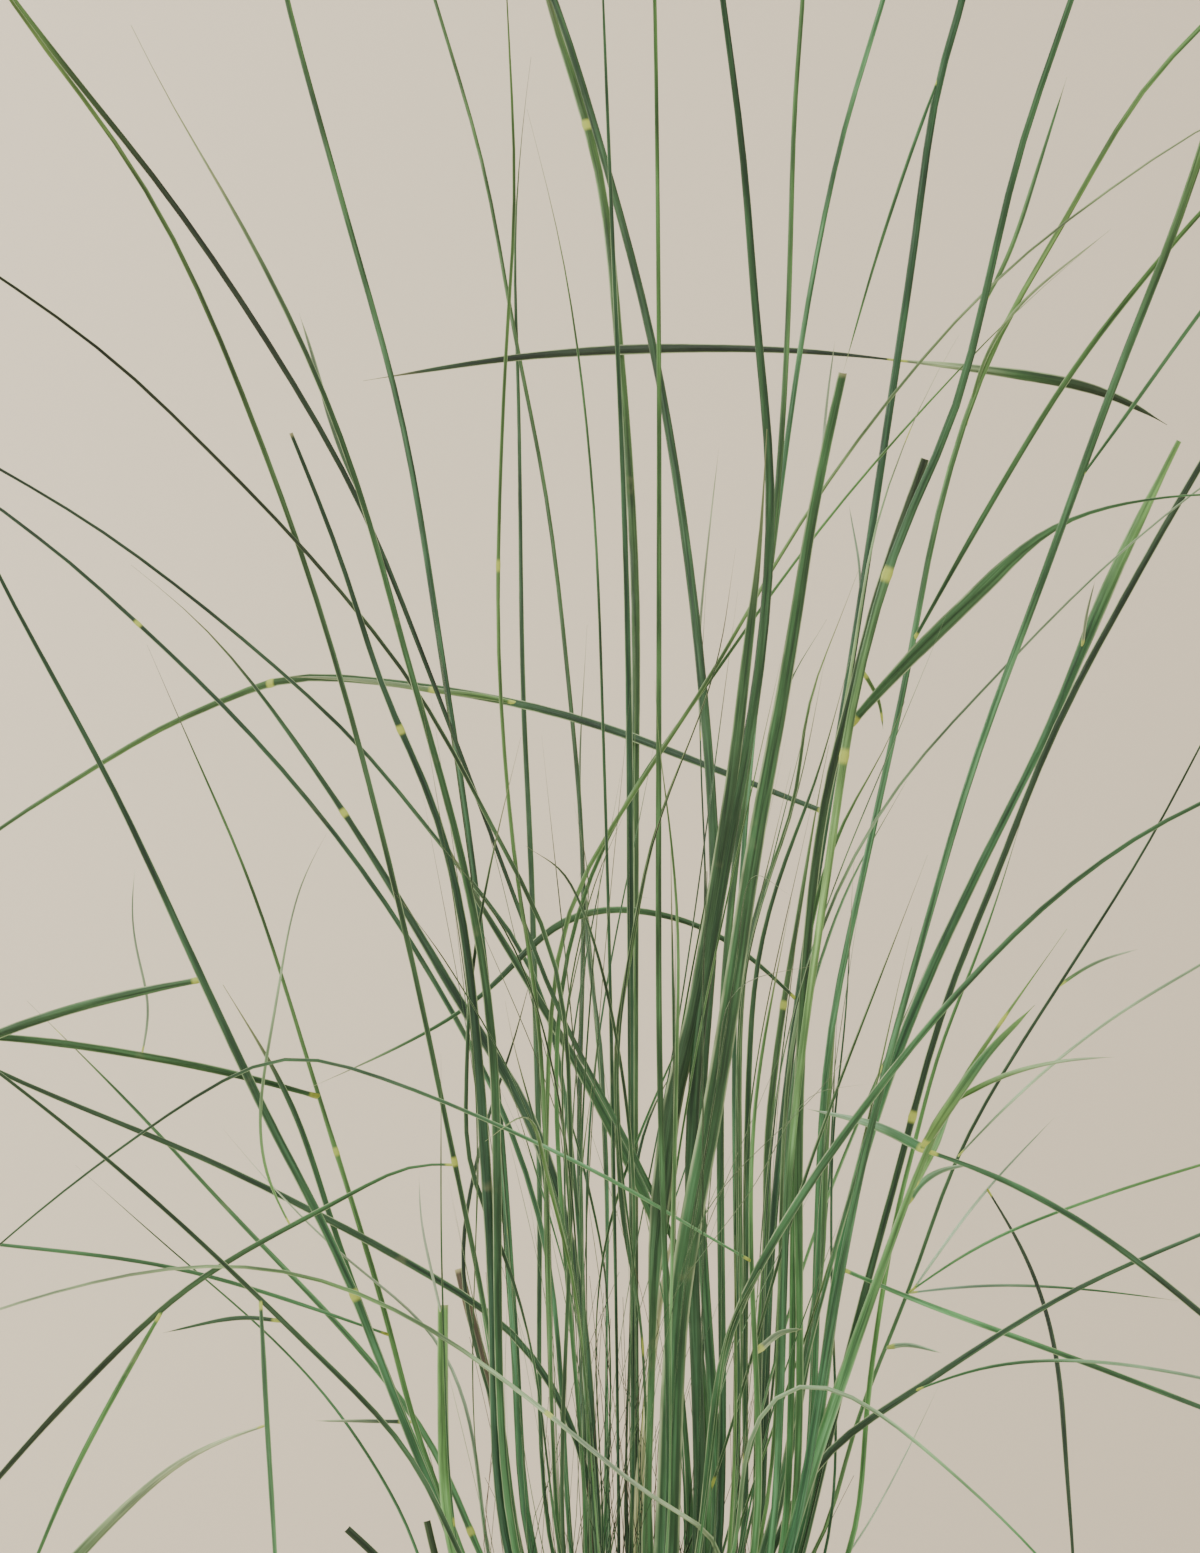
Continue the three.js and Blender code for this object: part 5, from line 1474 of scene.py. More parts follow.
# Strength of the painted highlight line down one side of each stem
STEM_RIM_HIGHLIGHT = 0.6
DULL_MARGIN = 0.35
SHEATH_SHARE = 0.12
SHEATH_DRYNESS = 0.7
SCALES = 3
SCALE_LENGTH = (20, 46)
SCALE_WIDTH = (2.0, 3.2)
SCALE_LEAN = (0.1, 0.34)
SCALE_FOOT = 1.5
SCALE_KNEE = 0.4
SCALE_TAPER = 0.94
SCALE_POWER = 1.6
SCALE_FROM = 0.3
SCALE_SHARE = 0.5
SCALE_DRYNESS = 0.8
SCALE_TIP = 0.6
SCALE_MARGIN = 0.2
SCALE_TONES = ("straw", "foot", "deep", "straw", "brown")
THREAD_HEIGHT = (70, 150)
THREAD_STEPS = 8
THREAD_DRIFT = 6
THREAD_LEAN = 2
THREAD_FEET = 5
THREAD_TAPER = 0.6
THREAD_TONES = ("dark", "dark", "dark", "deep", "dark", "brown")
POT_SIDES = 96
SOFT_EDGE = 0.9
SOFT_EDGE_ROWS = 3
SHARP_ANGLE = 0.35
SOIL_RINGS = 22
SOIL_SIDES = 72
SOIL_LUMPS = 1.6
LUMP_LENGTH = 11
LUMP_FRACTAL = (0.8, 2.1, 4)
CROWN_POWER = 3
CRUMB_SIZE = (0.8, 3.6)
CRUMB_STRETCH = ((0.6, 1.5), (0.6, 1.3), (0.4, 0.9))
CRUMB_EDGE = 3
CRUMB_LIFT = 0.12
CRUMB_ROUNDNESS = 0.4
CRUMB_DENTS = 0.35
CRUMB_DENT_SCALE = 1.7
CRUMB_SMOOTH = 0.5
CHIP_STRETCH = (2.2, 0.9, 0.45)
CHIP_SHADES = (0.7, 1.2)
CHIP_SHARE = 0.14
PERLITE_SHARE = 0.06
TWIG_LENGTH = 28
TWIG_SCALE = (0.75, 1.1)
TWIG_SHORTENING = 0.3
BRANCH_TWIG_OPENING = (0.3, 0.7)
BRANCH_TIP_CLOSING = 0.8
TIP_CLOSING = 0.7
PEDICEL_LENGTH = (4, 8)
PEDICEL_WHITENESS = 0.2
SPIKELET_LENGTH = 5.4
SPIKELET_WIDTH_FINE = 1.25
AWN_LENGTH = (5, 10)
AWN_WIDTH = 0.2
AWN_PLACE = 0.9
AWN_TURN = (-0.3, 0.5)
AWN_WHITENESS = 0.8
HAIR_WIDTH = 0.32
GREEN_FADE = 1.6

# What the grass finish reads where a part of a tiller says nothing else
PLAIN_GRASS = {
    "tint": (0, 0, 0),
    "across": 0,
    "share": 0.5,
    "reach": 0,
    "dry": 0,
    "tip_start": TIP_START,
    "rooted": 0,
    "margin": 0,
    "first_collar": NO_COLLAR,
    "second_collar": NO_COLLAR,
    "collar_half": 1,
    "aside": 0,
}

plant = SimpleNamespace()


def lay_plant():
    """Works out where every strand and plume lies, once, and checks it against the frame."""
    if hasattr(plant, "tillers"):
        return
    draw = make_draw(SEED)
    plant.tillers = lay_tillers(draw)
    plant.plumes = lay_plumes(draw, plant.tillers)
    for tiller in plant.tillers:
        points = np.array([point for strand in tiller.strands for point in strand.points])
        high = np.array(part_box(tiller.name)[1]) / MM
        if np.abs(points.max(0) - high)[[0, 2]].max() > STUB_RADIUS:
            raise RuntimeError(f"{tiller.name} isn't where the frame has it")
    lay_finer_strands(plant.tillers)
    bring_forward(plant.tillers)
    tuck_fillers(plant.tillers)
    share_out_collars_and_highlights(plant.tillers)


def strand_tint(tones, colours, draw, u=0.0):
    """Colour along a strand from its tones, a little lighter or darker, warmer or cooler."""
    stops = [getattr(colours, tone) for tone in tones.split()]
    tint = rows_at(u, np.linspace(TONE_FROM, 1, len(stops)), stops)
    return tint * between(draw, TINT_SPREAD) * [between(draw, HUE_SPREAD), 1, between(draw, HUE_SPREAD)]


def strand_fullness(strand, draw):
    """How full a strand looks along its way, its share of the width, and its tones."""
    if strand.tones:
        return np.atleast_1d(strand.fullness), READ_SHARE, strand.tones
    middle = strand.way.places[len(strand.way.places) // 2][0]
    share = np.interp(middle, FILL_PLACES, FILL_AT_PLACES)
    is_full = draw() < FULL_PART
    tones = FULL_TONES if is_full else THIN_TONES
    share *= between(draw, FULL_SHARE if is_full else THIN_SHARE)
    return np.array(FILL_SWELL), share, tones[int(draw() * len(tones))]


def side_share(places):
    """How far round a round pattern each of its points lies, from -1 to 1."""
    return np.arctan2(places[:, 0], places[:, 2]) / math.pi


def paint_grass(part, draw, **values):
    """Writes what the grass finish reads, plain where nothing else is given."""
    paint(part, **{**PLAIN_GRASS, **values}, lot=draw() * LOT_SPREAD)


def dress_strand(strand, patterns, sizes, colours, draw):
    """Blade or stem of one strand, as its own object."""
    way = strand.way
    collars = collars_and_highlights_of(strand, way)[:2]
    is_stem = strand.kind == "plume"
    pattern, places = patterns["stem" if is_stem else "blade"]
    fullness, share, tones = strand_fullness(strand, draw)
    foot_at_places = FINE_FOOT if strand.is_fine else FOOT_AT_PLACES

    def share_at(u):
        """Share of the strand's width at a share of its length."""
        swell = np.interp(u, np.linspace(0, 1, len(fullness)), fullness)
        x, _, z = rows_at(u, way.u, way.places).T
        foot = np.interp(x, FOOT_PLACES, foot_at_places) - 1
        foot = foot * np.interp(z, FOOT_HEIGHTS, FOOT_AT_HEIGHTS)
        return share * swell * (1 + foot) * width_share(strand.kind, u, sizes.tip_width)

    part, u = lay_pattern(pattern, places, way, BLADE_ROWS, share_at, strand.width, collars)
    dryness = between(draw, LIVE_DRYNESS)
    side = side_share(places) if is_stem else np.clip(places[:, 0], -1, 1)
    first, second = (collars + [NO_COLLAR, NO_COLLAR])[:2]
    # Painted light and shade by height and side, multiplied into the strand's tint
    asides, _, heights = rows_at(u, way.u, way.places).T
    shade = rows_at(heights, PAINTED_LIGHT_HEIGHTS, PAINTED_LIGHT_BY_HEIGHT) * rows_at(asides, PAINTED_LIGHT_SIDES, PAINTED_LIGHT_BY_SIDE)
    tint = np.minimum(strand_tint(tones, colours, draw, u) * shade, 1)
    margin = STEM_RIM_HIGHLIGHT if is_stem else sizes.margin_and_highlight_strength
    half = share_at(u) * strand.width / 2
    values = {"tint": tint, "across": side, "share": u, "reach": u * way.length}
    values["dry"] = 0 if is_stem else DRY_TONES.get(tones.split()[-1], dryness)
    values["rooted"] = 0 if strand.forked else 1
    values["margin"] = DULL_MARGIN if tones in ("dark", "brown") else margin
    values["aside"] = side * half * (math.pi if is_stem else 1)
    if strand.kind == "cut":
        values["tip_start"] = 1 - CUT_END_LENGTH / way.length
    values |= {"first_collar": first, "second_collar": second, "collar_half": strand.collar_half}
    paint_grass(part, draw, **values)
    return part


def scale_share(u):
    """Share of a scale's full width along it."""
    return 1 - SCALE_TAPER * u**SCALE_POWER


def dress_scale(index, x, y, pattern, places, colours, draw):
    """Short pointed scale that stands off the foot of a tiller."""
    angle = GOLDEN_TURN * index + 2 * math.pi * draw()
    out = np.array([math.cos(angle), math.sin(angle), 0])
    length = between(draw, SCALE_LENGTH)
    lean = between(draw, SCALE_LEAN) * length
    foot = np.array([x, y, SOIL_LEVEL - 1]) + out * SCALE_FOOT
    knee = foot + out * SCALE_FOOT + UP * length * SCALE_KNEE
    way = smooth_way([foot, knee, foot + out * (SCALE_FOOT + lean) + UP * length], level_side(out), math.pi)
    width = between(draw, SCALE_WIDTH)
    scale, u = lay_pattern(pattern, places, way, SCALE_ROWS, scale_share, width)
    tone = SCALE_TONES[int(draw() * len(SCALE_TONES))]
    values = {"tint": strand_tint(tone, colours, draw), "across": np.clip(places[:, 0], -1, 1)}
    values |= {"share": u * SCALE_SHARE + SCALE_FROM, "reach": u * length, "dry": SCALE_DRYNESS}
    values |= {"tip_start": SCALE_TIP, "rooted": 1, "margin": SCALE_MARGIN, "aside": places[:, 0]}
    paint_grass(scale, draw, **values)
    return scale


def dress_stub(tiller, patterns, colours, draw):
    """Sheath bundle at the foot of a tiller, and a few short scales round it."""
    x, y = tiller.site
    low = np.array([x, y, SOIL_LEVEL - STUB_DEPTH])
    high = np.array([x, y, SOIL_LEVEL + STUB_RISE])
    pattern, places = patterns["sheath"]
    way = smooth_way([low, high], FRONT, 0)
    part, _ = lay_pattern(pattern, places, way, 1, np.ones_like, 2 * STUB_RADIUS)
    side = side_share(places)
    values = {"tint": strand_tint("foot", colours, draw), "across": side, "share": SHEATH_SHARE}
    values |= {"dry": SHEATH_DRYNESS, "rooted": 1, "aside": side * math.pi * STUB_RADIUS}
    paint_grass(part, draw, **values)
    return [part, *[dress_scale(index, x, y, *patterns["scale"], colours, draw) for index in range(SCALES)]]


def drawn_drift(draw, reach):
    """A drawn level shift, up to the reach to each side."""
    return np.array([between(draw, (-1, 1)), between(draw, (-1, 1)), 0]) * reach


def dress_thread(tiller, patterns, sizes, colours, draw):
    """Thin dry thread that wanders up from a tiller."""
    points = [strand_foot(tiller.site, int(draw() * THREAD_FEET))]
    step = between(draw, THREAD_HEIGHT) / THREAD_STEPS
    drift = drawn_drift(draw, THREAD_LEAN)
    for _ in range(THREAD_STEPS):
        points.append(points[-1] + UP * step + drift + drawn_drift(draw, THREAD_DRIFT))
    way = smooth_way(points, FRONT, 0)
    width = sizes.thread_width / MM
    part, u = lay_pattern(*patterns["hair"], way, BLADE_ROWS // 2, lambda u: 1 - THREAD_TAPER * u, width)
    tone = THREAD_TONES[int(draw() * len(THREAD_TONES))]
    paint_grass(part, draw, tint=strand_tint(tone, colours, draw), reach=u * way.length)
    return part


def side_of(direction):
    """A direction square to the given one, level where that isn't steep."""
    return unit(np.cross(direction, UP if abs(direction[2]) < STEEP else FRONT))


def place_straight(pattern, base, direction, length, width):
    """Copy of a round unit pattern on a straight line, with its points' places in millimetres."""
    piece, places = pattern
    side = side_of(direction)
    normal = np.cross(side, direction)
    across_line = side * places[:, :1] + normal * places[:, 2:]
    return copy_of(piece, base + direction * places[:, 1:2] * length + across_line * width / 2)


def model_twig(kind, patterns, draw):
    """Twig of a plume along +Y: a hair-fine stalk with spikelets, each on its stalklet and with an awn."""
    along = np.array([0.0, 1.0, 0.0])
    stalk = place_straight(patterns["hair"], np.zeros(3), along, TWIG_LENGTH, HAIR_WIDTH)
    paint(stalk, husk=0)
    parts = [stalk]
    for index in range(TWIG_SPIKELETS):
        place = TWIG_FROM + (1 - TWIG_FROM) * index / (TWIG_SPIKELETS - 1)
        base = along * TWIG_LENGTH * place
        side = turned(UP, along, GOLDEN_TURN * index + draw())
        opening = between(draw, TWIG_OPENING) * (1 - TIP_CLOSING * (index == TWIG_SPIKELETS - 1))
        out = along * math.cos(opening) + side * math.sin(opening)
        length = between(draw, PEDICEL_LENGTH)
        tip = base + out * length
        pedicel = place_straight(patterns["bristle"], base, out, length, HAIR_WIDTH)
        husk = place_straight(patterns["spikelet"], tip, out, SPIKELET_LENGTH, SPIKELET_WIDTH_FINE)
        awn_way = unit(out + side * between(draw, AWN_TURN))
        awn_base = tip + out * SPIKELET_LENGTH * AWN_PLACE
        awn = place_straight(patterns["bristle"], awn_base, awn_way, between(draw, AWN_LENGTH), AWN_WIDTH)
        paint(pedicel, husk=PEDICEL_WHITENESS)
        paint(husk, husk=1)
        paint(awn, husk=AWN_WHITENESS)
        parts += [pedicel, husk, awn]
    return join_as(parts, f"twig_pattern_{kind}")


def place_twig(pattern, base, direction, roll, scale):
    """Copy of a twig on a branch."""
    piece, places = pattern
    side = turned(side_of(direction), direction, roll)
    normal = np.cross(side, direction)
    points = side * places[:, :1] + direction * places[:, 1:2] + normal * places[:, 2:]
    return copy_of(piece, keep_inside(base + points * scale))


def twigs_along(start, end, count, twigs, draw):
    """Twigs that stand off a branch between two points, shorter towards its end."""
    along = unit(end - start)
    side = side_of(along)
    parts = []
    for index in range(count):
        place = index / max(1, count - 1)
        turn = GOLDEN_TURN * index + 2 * math.pi * draw()
        opening = between(draw, BRANCH_TWIG_OPENING) * (1 - BRANCH_TIP_CLOSING * (index == count - 1))
        direction = along * math.cos(opening) + turned(side, along, turn) * math.sin(opening)
        base = start + (end - start) * place
        pattern = twigs[int(draw() * len(twigs))]
        roll = 2 * math.pi * draw()
        scale = between(draw, TWIG_SCALE) * (1 - TWIG_SHORTENING * place)
        parts.append(place_twig(pattern, base, direction, roll, scale))
    return parts


def dress_plume(spray, patterns, twigs, sizes, draw):
    """Airy plume on its axis, with hair-fine branches and twigs of spikelets."""
    way = smooth_way(spray.points, FRONT, 0, 0)
    taper = 1 - AXIS_TIP
    axis, u = lay_pattern(*patterns["stem"], way, BLADE_ROWS, lambda u: 1 - taper * u, AXIS_WIDTH)
    paint(axis, husk=0, greenness=np.clip(1 - GREEN_FADE * u, 0, 1))
    parts = [axis]
    for base, _, tip in spray.branches:
        reach = tip - base
        branch = place_straight(patterns["hair"], base, unit(reach), np.linalg.norm(reach), BRANCH_HAIR)
        branch.data.vertices.foreach_set("co", (keep_inside(points_of(branch) / MM) * MM).ravel())
        paint(branch, husk=0)
        start = base + reach * TWIG_FROM
        parts += [branch, *twigs_along(start, tip, sizes.twigs_per_branch, twigs, draw)]
    parts += twigs_along(spray.points[-2], spray.points[-1], sizes.twigs_per_branch, twigs, draw)
    return join_as(parts, f"{spray.name}_dressed")


def pot_inner_radius(height):
    """Inner radius of the pot at a height."""
    share = height / POT_HEIGHT
    return POT_FOOT_RADIUS + (POT_TOP_RADIUS - RIM_STEP - POT_FOOT_RADIUS) * share - POT_WALL


def model_turned(name, sides, profile):
    """Closed round piece whose cap is drawn through [radius, height] rings."""
    start_fresh()
    radius, height = profile[0]
    bpy.ops.mesh.primitive_circle_add(
        vertices=sides, radius=radius * MM, fill_type="NGON", location=(0, 0, height * MM)
    )
    piece = bpy.context.object
    bpy.ops.object.transform_apply(location=True, rotation=True, scale=True)
    edit_all(piece)
    for (last_radius, last_height), (radius, height) in zip(profile, profile[1:]):
        rise = (height - last_height) * MM
        bpy.ops.mesh.extrude_region_move(TRANSFORM_OT_translate={"value": (0, 0, rise)})
        scale = radius / last_radius
        bpy.ops.transform.resize(value=(scale, scale, 1), center_override=(0, 0, 0))
    bpy.ops.mesh.poke()
    return close_pattern(piece, name, TURNED_SMOOTH)


def dress_pot():
    """Plain round pot, with its edges softened."""
    rim_bottom = POT_HEIGHT - RIM_HEIGHT
    pot = model_turned("pot_dressed", POT_SIDES, [
        (POT_FOOT_RADIUS - FOOT_BEVEL, 0),
        (POT_FOOT_RADIUS, FOOT_BEVEL),
        (pot_inner_radius(rim_bottom) + POT_WALL, rim_bottom),
        (POT_TOP_RADIUS, rim_bottom + RIM_BEVEL),
        (POT_TOP_RADIUS, POT_HEIGHT - RIM_BEVEL),
        (POT_TOP_RADIUS - RIM_BEVEL, POT_HEIGHT),
        (pot_inner_radius(POT_HEIGHT) + RIM_BEVEL, POT_HEIGHT),
        (pot_inner_radius(POT_HEIGHT), POT_HEIGHT - RIM_BEVEL),
        (pot_inner_radius(POT_WALL), POT_WALL),
    ])
    soft = pot.modifiers.new("Soft edges", "BEVEL")
    soft.width = SOFT_EDGE * MM
    soft.segments = SOFT_EDGE_ROWS
    soft.limit_method = "ANGLE"
    soft.angle_limit = SHARP_ANGLE
    bpy.ops.object.modifier_apply(modifier=soft.name)
    return pot


def soil_height(radius, x, y):
    """Height of the lumpy soil surface."""
    edge = pot_inner_radius(SOIL_LEVEL - SOIL_CROWN)
    crown = SOIL_LEVEL - SOIL_CROWN * np.clip(radius / edge, 0, 1) ** CROWN_POWER
    places = [Vector((a / LUMP_LENGTH, b / LUMP_LENGTH, 0)) for a, b in zip(x, y)]
    return crown + np.array([lump_noise.fractal(place, *LUMP_FRACTAL) for place in places]) * SOIL_LUMPS


def dress_crumb(patterns, edge_radius, colours, draw):
    """Loose crumb, bark chip or white grain somewhere on the soil."""
    size = between(draw, CRUMB_SIZE)
    reach = (edge_radius - CRUMB_EDGE) * math.sqrt(draw())
    angle = 2 * math.pi * draw()
    x = reach * math.cos(angle)
    y = reach * math.sin(angle)
    kind = draw()
    piece, crumb = patterns["crumb"]
    stretch = np.array([between(draw, limits) for limits in CRUMB_STRETCH])
    if kind < CHIP_SHARE:
        stretch = stretch * CHIP_STRETCH
    spin = 2 * math.pi * draw()
    points = crumb * stretch * size / 2
    turned_x = points[:, 0] * math.cos(spin) - points[:, 1] * math.sin(spin)
    turned_y = points[:, 0] * math.sin(spin) + points[:, 1] * math.cos(spin)
    height = soil_height(np.array([reach]), [x], [y])[0] + size * CRUMB_LIFT
    part = copy_of(piece, np.stack([x + turned_x, y + turned_y, height + points[:, 2]], 1))
    chip = 1 if kind < CHIP_SHARE + PERLITE_SHARE else 0
    tint = colours.bark if kind < CHIP_SHARE else colours.perlite
    paint(part, chip=chip, tint=np.array(tint) * between(draw, CHIP_SHADES))
    return part


def dress_soil(patterns, sizes, colours, draw):
    """Lumpy soil surface with loose crumbs, bark chips and a few white grains."""
    floor = POT_WALL + SEAT_GAP
    edge = SOIL_LEVEL - SOIL_CROWN
    edge_radius = pot_inner_radius(edge) - SEAT_GAP
    rings = [(edge_radius * (1 - share / SOIL_RINGS), edge) for share in range(1, SOIL_RINGS)]
    soil = model_turned(
        "soil_body", SOIL_SIDES, [(pot_inner_radius(floor) - SEAT_GAP, floor), (edge_radius, edge), *rings]
    )
    places = points_of(soil) / MM
    radius = np.hypot(places[:, 0], places[:, 1])
    inside = (places[:, 2] > edge - 1) & (radius < edge_radius - 1)
    places[inside, 2] = soil_height(radius[inside], places[inside, 0], places[inside, 1])
    soil.data.vertices.foreach_set("co", (places * MM).ravel())
    paint(soil, chip=0, tint=np.zeros(3))
    crumbs = [dress_crumb(patterns, edge_radius, colours, draw) for _ in range(sizes.crumb_count)]
    return join_as([soil, *crumbs], "soil_dressed")


def model_crumb():
    """Uneven little lump, one unit in radius."""
    start_fresh()
    bpy.ops.mesh.primitive_ico_sphere_add(subdivisions=1, radius=1)
    crumb = bpy.context.object
    edit_all(crumb)
    bpy.ops.mesh.subdivide(number_cuts=1, smoothness=CRUMB_ROUNDNESS)
    bpy.ops.object.mode_set(mode="OBJECT")
    places = points_of(crumb)
    for place in places:
        place *= 1 + CRUMB_DENTS * lump_noise.noise(Vector(place * CRUMB_DENT_SCALE))
    crumb.data.vertices.foreach_set("co", places.ravel())
    edit_all(crumb)
    return close_pattern(crumb, "crumb_pattern", CRUMB_SMOOTH)


def pattern_of(piece):
    """A pattern with the places of its points."""
    return piece, points_of(piece)


SHARE = {"subtype": "FACTOR"}
LENGTH = {"unit": "LENGTH"}


def number_property(name, description, default, low, high, **kind):
    """Size, share or count that a user may change between two limits."""
    make = IntProperty if isinstance(default, int) else FloatProperty
    return make(name=name, description=description, default=default, min=low, max=high, **kind)


def colour_property(name, code, description):
    """Colour that a user may change, its default from a screen colour's hex digits."""
    return FloatVectorProperty(
        name=name, description=description, default=linear(code), size=3, min=0, max=1, subtype="COLOR"
    )


class MuhlySizes(bpy.types.PropertyGroup):
    """Sizes and counts of the fine parts."""

    tip_width: number_property("Tip width", "Tip of a leaf, as a share of its width", 0.14, 0.03, 1, **SHARE)
    # Strength of the light margins of the blades, partly painted highlight
    margin_and_highlight_strength: number_property("Light margins", "How strongly they show", 0.85, 0, 1, **SHARE)
    thread_width: number_property("Thread width", "Dry thread's thickness", 0.00034, 0.0001, 0.001, **LENGTH)
    threads_per_tiller: number_property("Threads", "Dry threads that each tiller carries", 2, 0, 10)
    twigs_per_branch: number_property("Twigs", "Twigs on each branch of a plume", 8, 1, 12)
    crumb_count: number_property("Crumbs", "Loose crumbs, chips and grains on the soil", 700, 0, 2000)
    wall_distance: number_property("Wall distance", "From the pot's axis to the wall", 1.7, 0.5, 5, **LENGTH)


class MuhlyColours(bpy.types.PropertyGroup):
    """Colours of the plant, its pot and the stage."""

    green: colour_property("Green", "466F41", "Most blades and stems")
    deep: colour_property("Deep green", "345333", "Shaded blades")
    lime: colour_property("Lime", "648F49", "Young blades")
    cool: colour_property("Cool", "5F965A", "Cool light green of some upper blades")
    # Partly painted highlight, for strands and flecks that catch the light
    bright: colour_property("Bright", "90BC60", "Yellow green flecks and young tips")
    pale: colour_property("Pale", "A9BD92", "Pale blades, tips and tufts")
    blue: colour_property("Blue green", "3D6A41", "Flower stems of the middle")
    # Partly painted shade, for strands that lie in shade
    dark: colour_property("Dark green", "2F4028", "Darkest blades")
    brown: colour_property("Brown", "665440", "Old clipped blade")
    straw: colour_property("Straw", "CCC48E", "Dry leaf and tips")
    foot: colour_property("Foot", "6F8648", "Sheaths at the foot")
    # Light margins of the blades, partly painted highlight
    margin: colour_property("Margin", "B9CE96", "Light margins of the blades")
    # Yellow of the nodes, also used for painted highlights on the strands
    collar: colour_property("Collar", "C9D65A", "Collars and nodes")
    plume: colour_property("Plume", "FFFDF7", "Husks of the plumes")
    plume_stalk: colour_property("Plume stalk", "E2E0C8", "Fine stalks of the plumes")
    pot: colour_property("Pot", "A39C92", "Fired clay")
    pot_speck: colour_property("Specks", "5B544C", "Specks in the clay")
    pot_wear: colour_property("Wear", "BDB7AC", "Rubbed rim")
    soil: colour_property("Soil", "33271D", "Damp soil")
    soil_light: colour_property("Light soil", "5A4736", "Dry crumbs")
    bark: colour_property("Bark", "6B4B32", "Bark chips")
    perlite: colour_property("Perlite", "D9D6CE", "White grains")
    wall: colour_property("Wall", "D6CAB4", "Wall behind the plant")
    floor: colour_property("Floor", "E2DCD1", "Floor under the pot")


plant_groups = {}


def shared_groups():
    """Node groups that more than one finish uses, made once."""
    makers = {"mottle": make_mottle_group, "veins": make_vein_group, "band": make_band_group}
    for name, maker in {**makers, "streaks": make_streak_group}.items():
        if name not in plant_groups:
            plant_groups[name] = maker()
    return SimpleNamespace(**plant_groups)


def strand_patterns():
    """Unit patterns that strands, threads and plumes are copied from."""
    return {
        "blade": pattern_of(model_blade("blade_pattern", BLADE_ROWS)),
        "scale": pattern_of(model_blade("scale_pattern", SCALE_ROWS)),
        "stem": pattern_of(model_round("stem_pattern", STEM_SIDES, even_rings(BLADE_ROWS))),
        "sheath": pattern_of(model_round("sheath_pattern", SHEATH_SIDES, SHEATH_RINGS)),
        "hair": pattern_of(model_round("hair_pattern", HAIR_SIDES, even_rings(HAIR_ROWS))),
        "bristle": pattern_of(model_round("bristle_pattern", HAIR_SIDES, BRISTLE_RINGS)),
        "spikelet": pattern_of(model_round("spikelet_pattern", SPIKELET_SIDES, SPIKELET_RINGS)),
    }


def drop_patterns(patterns):
    """Takes the patterns out of the scene."""
    drop(*[piece for piece, _ in patterns.values()])


class MUHLY_OT_pot(bpy.types.Operator):
    """Model the plain round pot"""

    bl_idname = "muhly.pot"
    bl_label = "Pot"

    def execute(self, context):
        pot = dress_pot()
        hand_over(pot, make_pot_finish(shared_groups(), context.scene.muhly_colours))
        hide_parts("pot")
        return {"FINISHED"}


class MUHLY_OT_soil(bpy.types.Operator):
    """Model the potting soil with its crumbs"""

    bl_idname = "muhly.soil"
    bl_label = "Soil"

    def execute(self, context):
        colours = context.scene.muhly_colours
        patterns = {"crumb": pattern_of(model_crumb())}
        soil = dress_soil(patterns, context.scene.muhly_sizes, colours, make_draw(SEED + 1))
        drop_patterns(patterns)
        hand_over(soil, make_soil_finish(shared_groups(), colours))
        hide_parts("soil")
        return {"FINISHED"}


class MUHLY_OT_tillers(bpy.types.Operator):
    """Model the leafy tillers with their blades, stems, sheaths and scales"""

    bl_idname = "muhly.tillers"
    bl_label = "Tillers"

    def execute(self, context):
        lay_plant()
        sizes = context.scene.muhly_sizes
        colours = context.scene.muhly_colours
        draw = make_draw(SEED + 2)
        patterns = strand_patterns()
        leaf_finish = make_leaf_finish(shared_groups(), colours)
        for tiller in plant.tillers:
            parts = dress_stub(tiller, patterns, colours, draw)
            parts += [dress_strand(strand, patterns, sizes, colours, draw) for strand in tiller.strands]
            piece = join_as(parts, f"{tiller.name}_dressed")
            hand_over(piece, leaf_finish)
            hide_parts(tiller.name)
        threads = [
            dress_thread(tiller, patterns, sizes, colours, draw)
            for tiller in plant.tillers
            for _ in range(sizes.threads_per_tiller)
        ]
        if threads:
            hand_over(join_as(threads, "dry_threads"), leaf_finish)
        drop_patterns(patterns)
        return {"FINISHED"}


class MUHLY_OT_plumes(bpy.types.Operator):
    """Model the airy white plumes"""

    bl_idname = "muhly.plumes"
    bl_label = "Plumes"

    def execute(self, context):
        lay_plant()
        draw = make_draw(SEED + 3)
        patterns = strand_patterns()
        twigs = [pattern_of(model_twig(kind, patterns, draw)) for kind in range(TWIG_KINDS)]
        twigs = [(piece, places / MM) for piece, places in twigs]
        plume_finish = make_plume_finish(shared_groups(), context.scene.muhly_colours)
        for spray in plant.plumes:
            piece = dress_plume(spray, patterns, twigs, context.scene.muhly_sizes, draw)
            hand_over(piece, plume_finish)
            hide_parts(spray.name)
        drop_patterns(patterns)
        drop(*[piece for piece, _ in twigs])
        return {"FINISHED"}


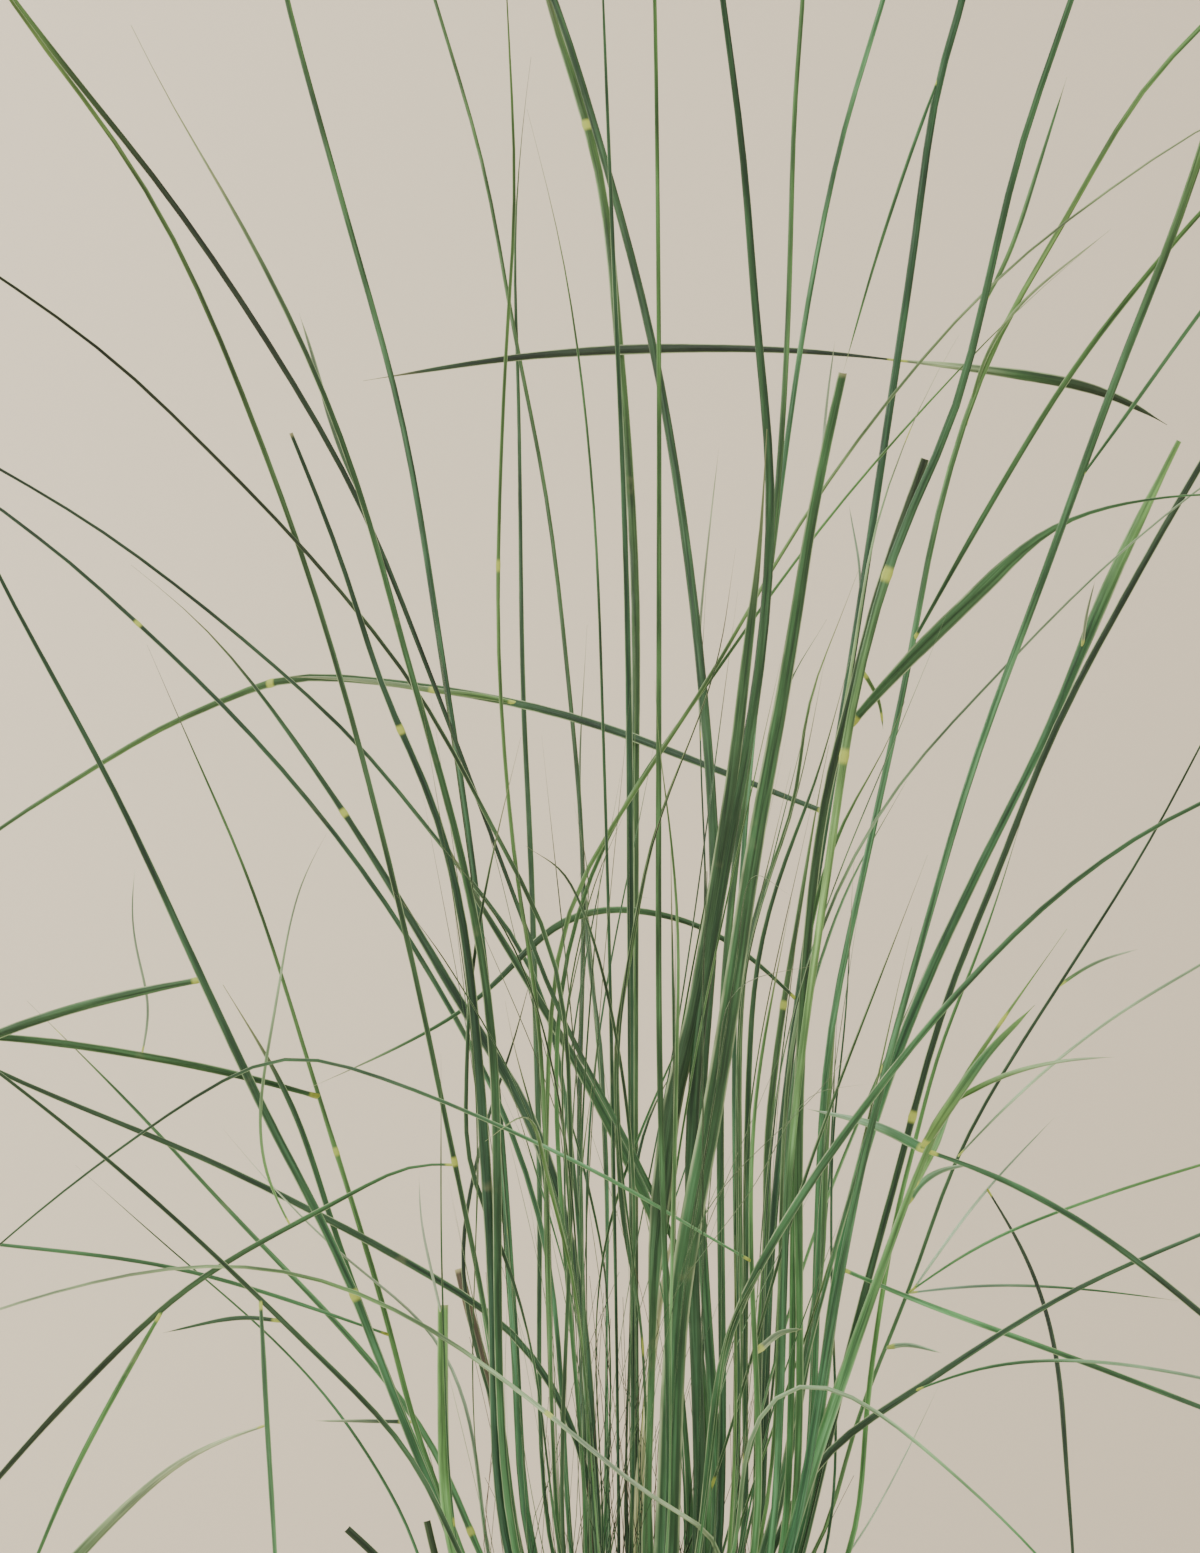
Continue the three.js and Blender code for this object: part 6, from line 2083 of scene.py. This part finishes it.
# Stage, in metres and watts, and the photo's frame in millimetres at the plant
FLOOR_SIZE = 24
WALL_SIZE = 8
WORLD_COLOUR = (0.68, 0.635, 0.575)
FAR_COLOUR = (0.53, 0.475, 0.4)
WORLD_STRENGTH = 1.1
LIGHTS = (
    ("key_softbox", (-1.5, -2.1, 2.1), (0, 0, 0.45), 1.6, 60),
    ("fill_softbox", (2.0, -1.6, 1.2), (0, 0, 0.45), 1.8, 16),
    ("top_softbox", (0.3, 0.5, 2.6), (0, 0, 0.4), 1.4, 20),
    ("wall_softbox", (-1.3, 0.7, 0.9), (-0.4, 1.7, 0.5), 0.7, 20),
)
SENSOR_SIZE = 36
CLIP_END = 100
PHOTO_HEIGHT = 388.25
PHOTO_CENTRE_X = -8.75
PHOTO_CENTRE_Z = 459.1


def soft_light(name, place, target, size, power):
    """Square soft box that faces a point."""
    lamp = bpy.data.lights.new(name, "AREA")
    lamp.size = size
    lamp.energy = power
    holder = bpy.data.objects.new(name, lamp)
    bpy.context.scene.collection.objects.link(holder)
    holder.location = place
    holder.rotation_euler = (Vector(target) - Vector(place)).to_track_quat("-Z", "Y").to_euler()


class MUHLY_OT_stage(bpy.types.Operator):
    """Set up the floor, the wall, the soft light and the camera"""

    bl_idname = "muhly.stage"
    bl_label = "Stage"

    def execute(self, context):
        colours = context.scene.muhly_colours
        distance = context.scene.muhly_sizes.wall_distance
        start_fresh()
        bpy.ops.mesh.primitive_plane_add(size=FLOOR_SIZE)
        floor = bpy.context.object
        floor.name = "floor"
        floor.data.materials.append(make_floor_finish(colours))
        bpy.ops.mesh.primitive_plane_add(
            size=WALL_SIZE, location=(0, distance, WALL_SIZE / 2), rotation=(math.pi / 2, 0, 0)
        )
        wall = bpy.context.object
        wall.name = "wall"
        wall.data.materials.append(make_wall_finish(colours))
        world = bpy.data.worlds.new("studio")
        world.use_nodes = True
        tree = world.node_tree
        sky = tree.nodes["Background"]
        sky.inputs["Strength"].default_value = WORLD_STRENGTH
        seen = add_node(tree, "ShaderNodeLightPath").outputs["Is Camera Ray"]
        tree.links.new(mixed(tree, seen, (*WORLD_COLOUR, 1), (*FAR_COLOUR, 1)), sky.inputs["Color"])
        context.scene.world = world
        for name, place, target, size, power in LIGHTS:
            soft_light(name, place, target, size, power)
        lens = bpy.data.cameras.new("photo_camera")
        lens.sensor_width = SENSOR_SIZE
        lens.lens = SENSOR_SIZE * EYE_DISTANCE / PHOTO_HEIGHT
        lens.clip_end = CLIP_END
        camera = bpy.data.objects.new("photo_camera", lens)
        context.scene.collection.objects.link(camera)
        camera.location = (PHOTO_CENTRE_X * MM, -EYE_DISTANCE * MM, PHOTO_CENTRE_Z * MM)
        camera.rotation_euler = (math.pi / 2, 0, 0)
        context.scene.camera = camera
        return {"FINISHED"}


class MUHLY_PT_panel(bpy.types.Panel):
    """Buttons and values of the potted grass"""

    bl_label = "Muhly grass"
    bl_idname = "MUHLY_PT_panel"
    bl_space_type = "VIEW_3D"
    bl_region_type = "UI"
    bl_category = "Muhly grass"

    def draw(self, context):
        layout = self.layout
        for operator in PIECE_OPERATORS:
            layout.operator(operator.bl_idname)
        for values in (context.scene.muhly_sizes, context.scene.muhly_colours):
            for name in values.bl_rna.properties.keys():
                if name not in ("rna_type", "name"):
                    layout.prop(values, name)


PIECE_OPERATORS = (MUHLY_OT_pot, MUHLY_OT_soil, MUHLY_OT_tillers, MUHLY_OT_plumes, MUHLY_OT_stage)
CLASSES = (MuhlySizes, MuhlyColours, *PIECE_OPERATORS, MUHLY_PT_panel)


def register():
    for item in CLASSES:
        bpy.utils.register_class(item)
    bpy.types.Scene.muhly_sizes = PointerProperty(type=MuhlySizes)
    bpy.types.Scene.muhly_colours = PointerProperty(type=MuhlyColours)


def unregister():
    del bpy.types.Scene.muhly_colours
    del bpy.types.Scene.muhly_sizes
    for item in reversed(CLASSES):
        bpy.utils.unregister_class(item)


def main():
    """Makes every piece and the stage."""
    register()
    bpy.ops.muhly.pot()
    bpy.ops.muhly.soil()
    bpy.ops.muhly.tillers()
    bpy.ops.muhly.plumes()
    bpy.ops.muhly.stage()


if __name__ == "__main__":
    main()
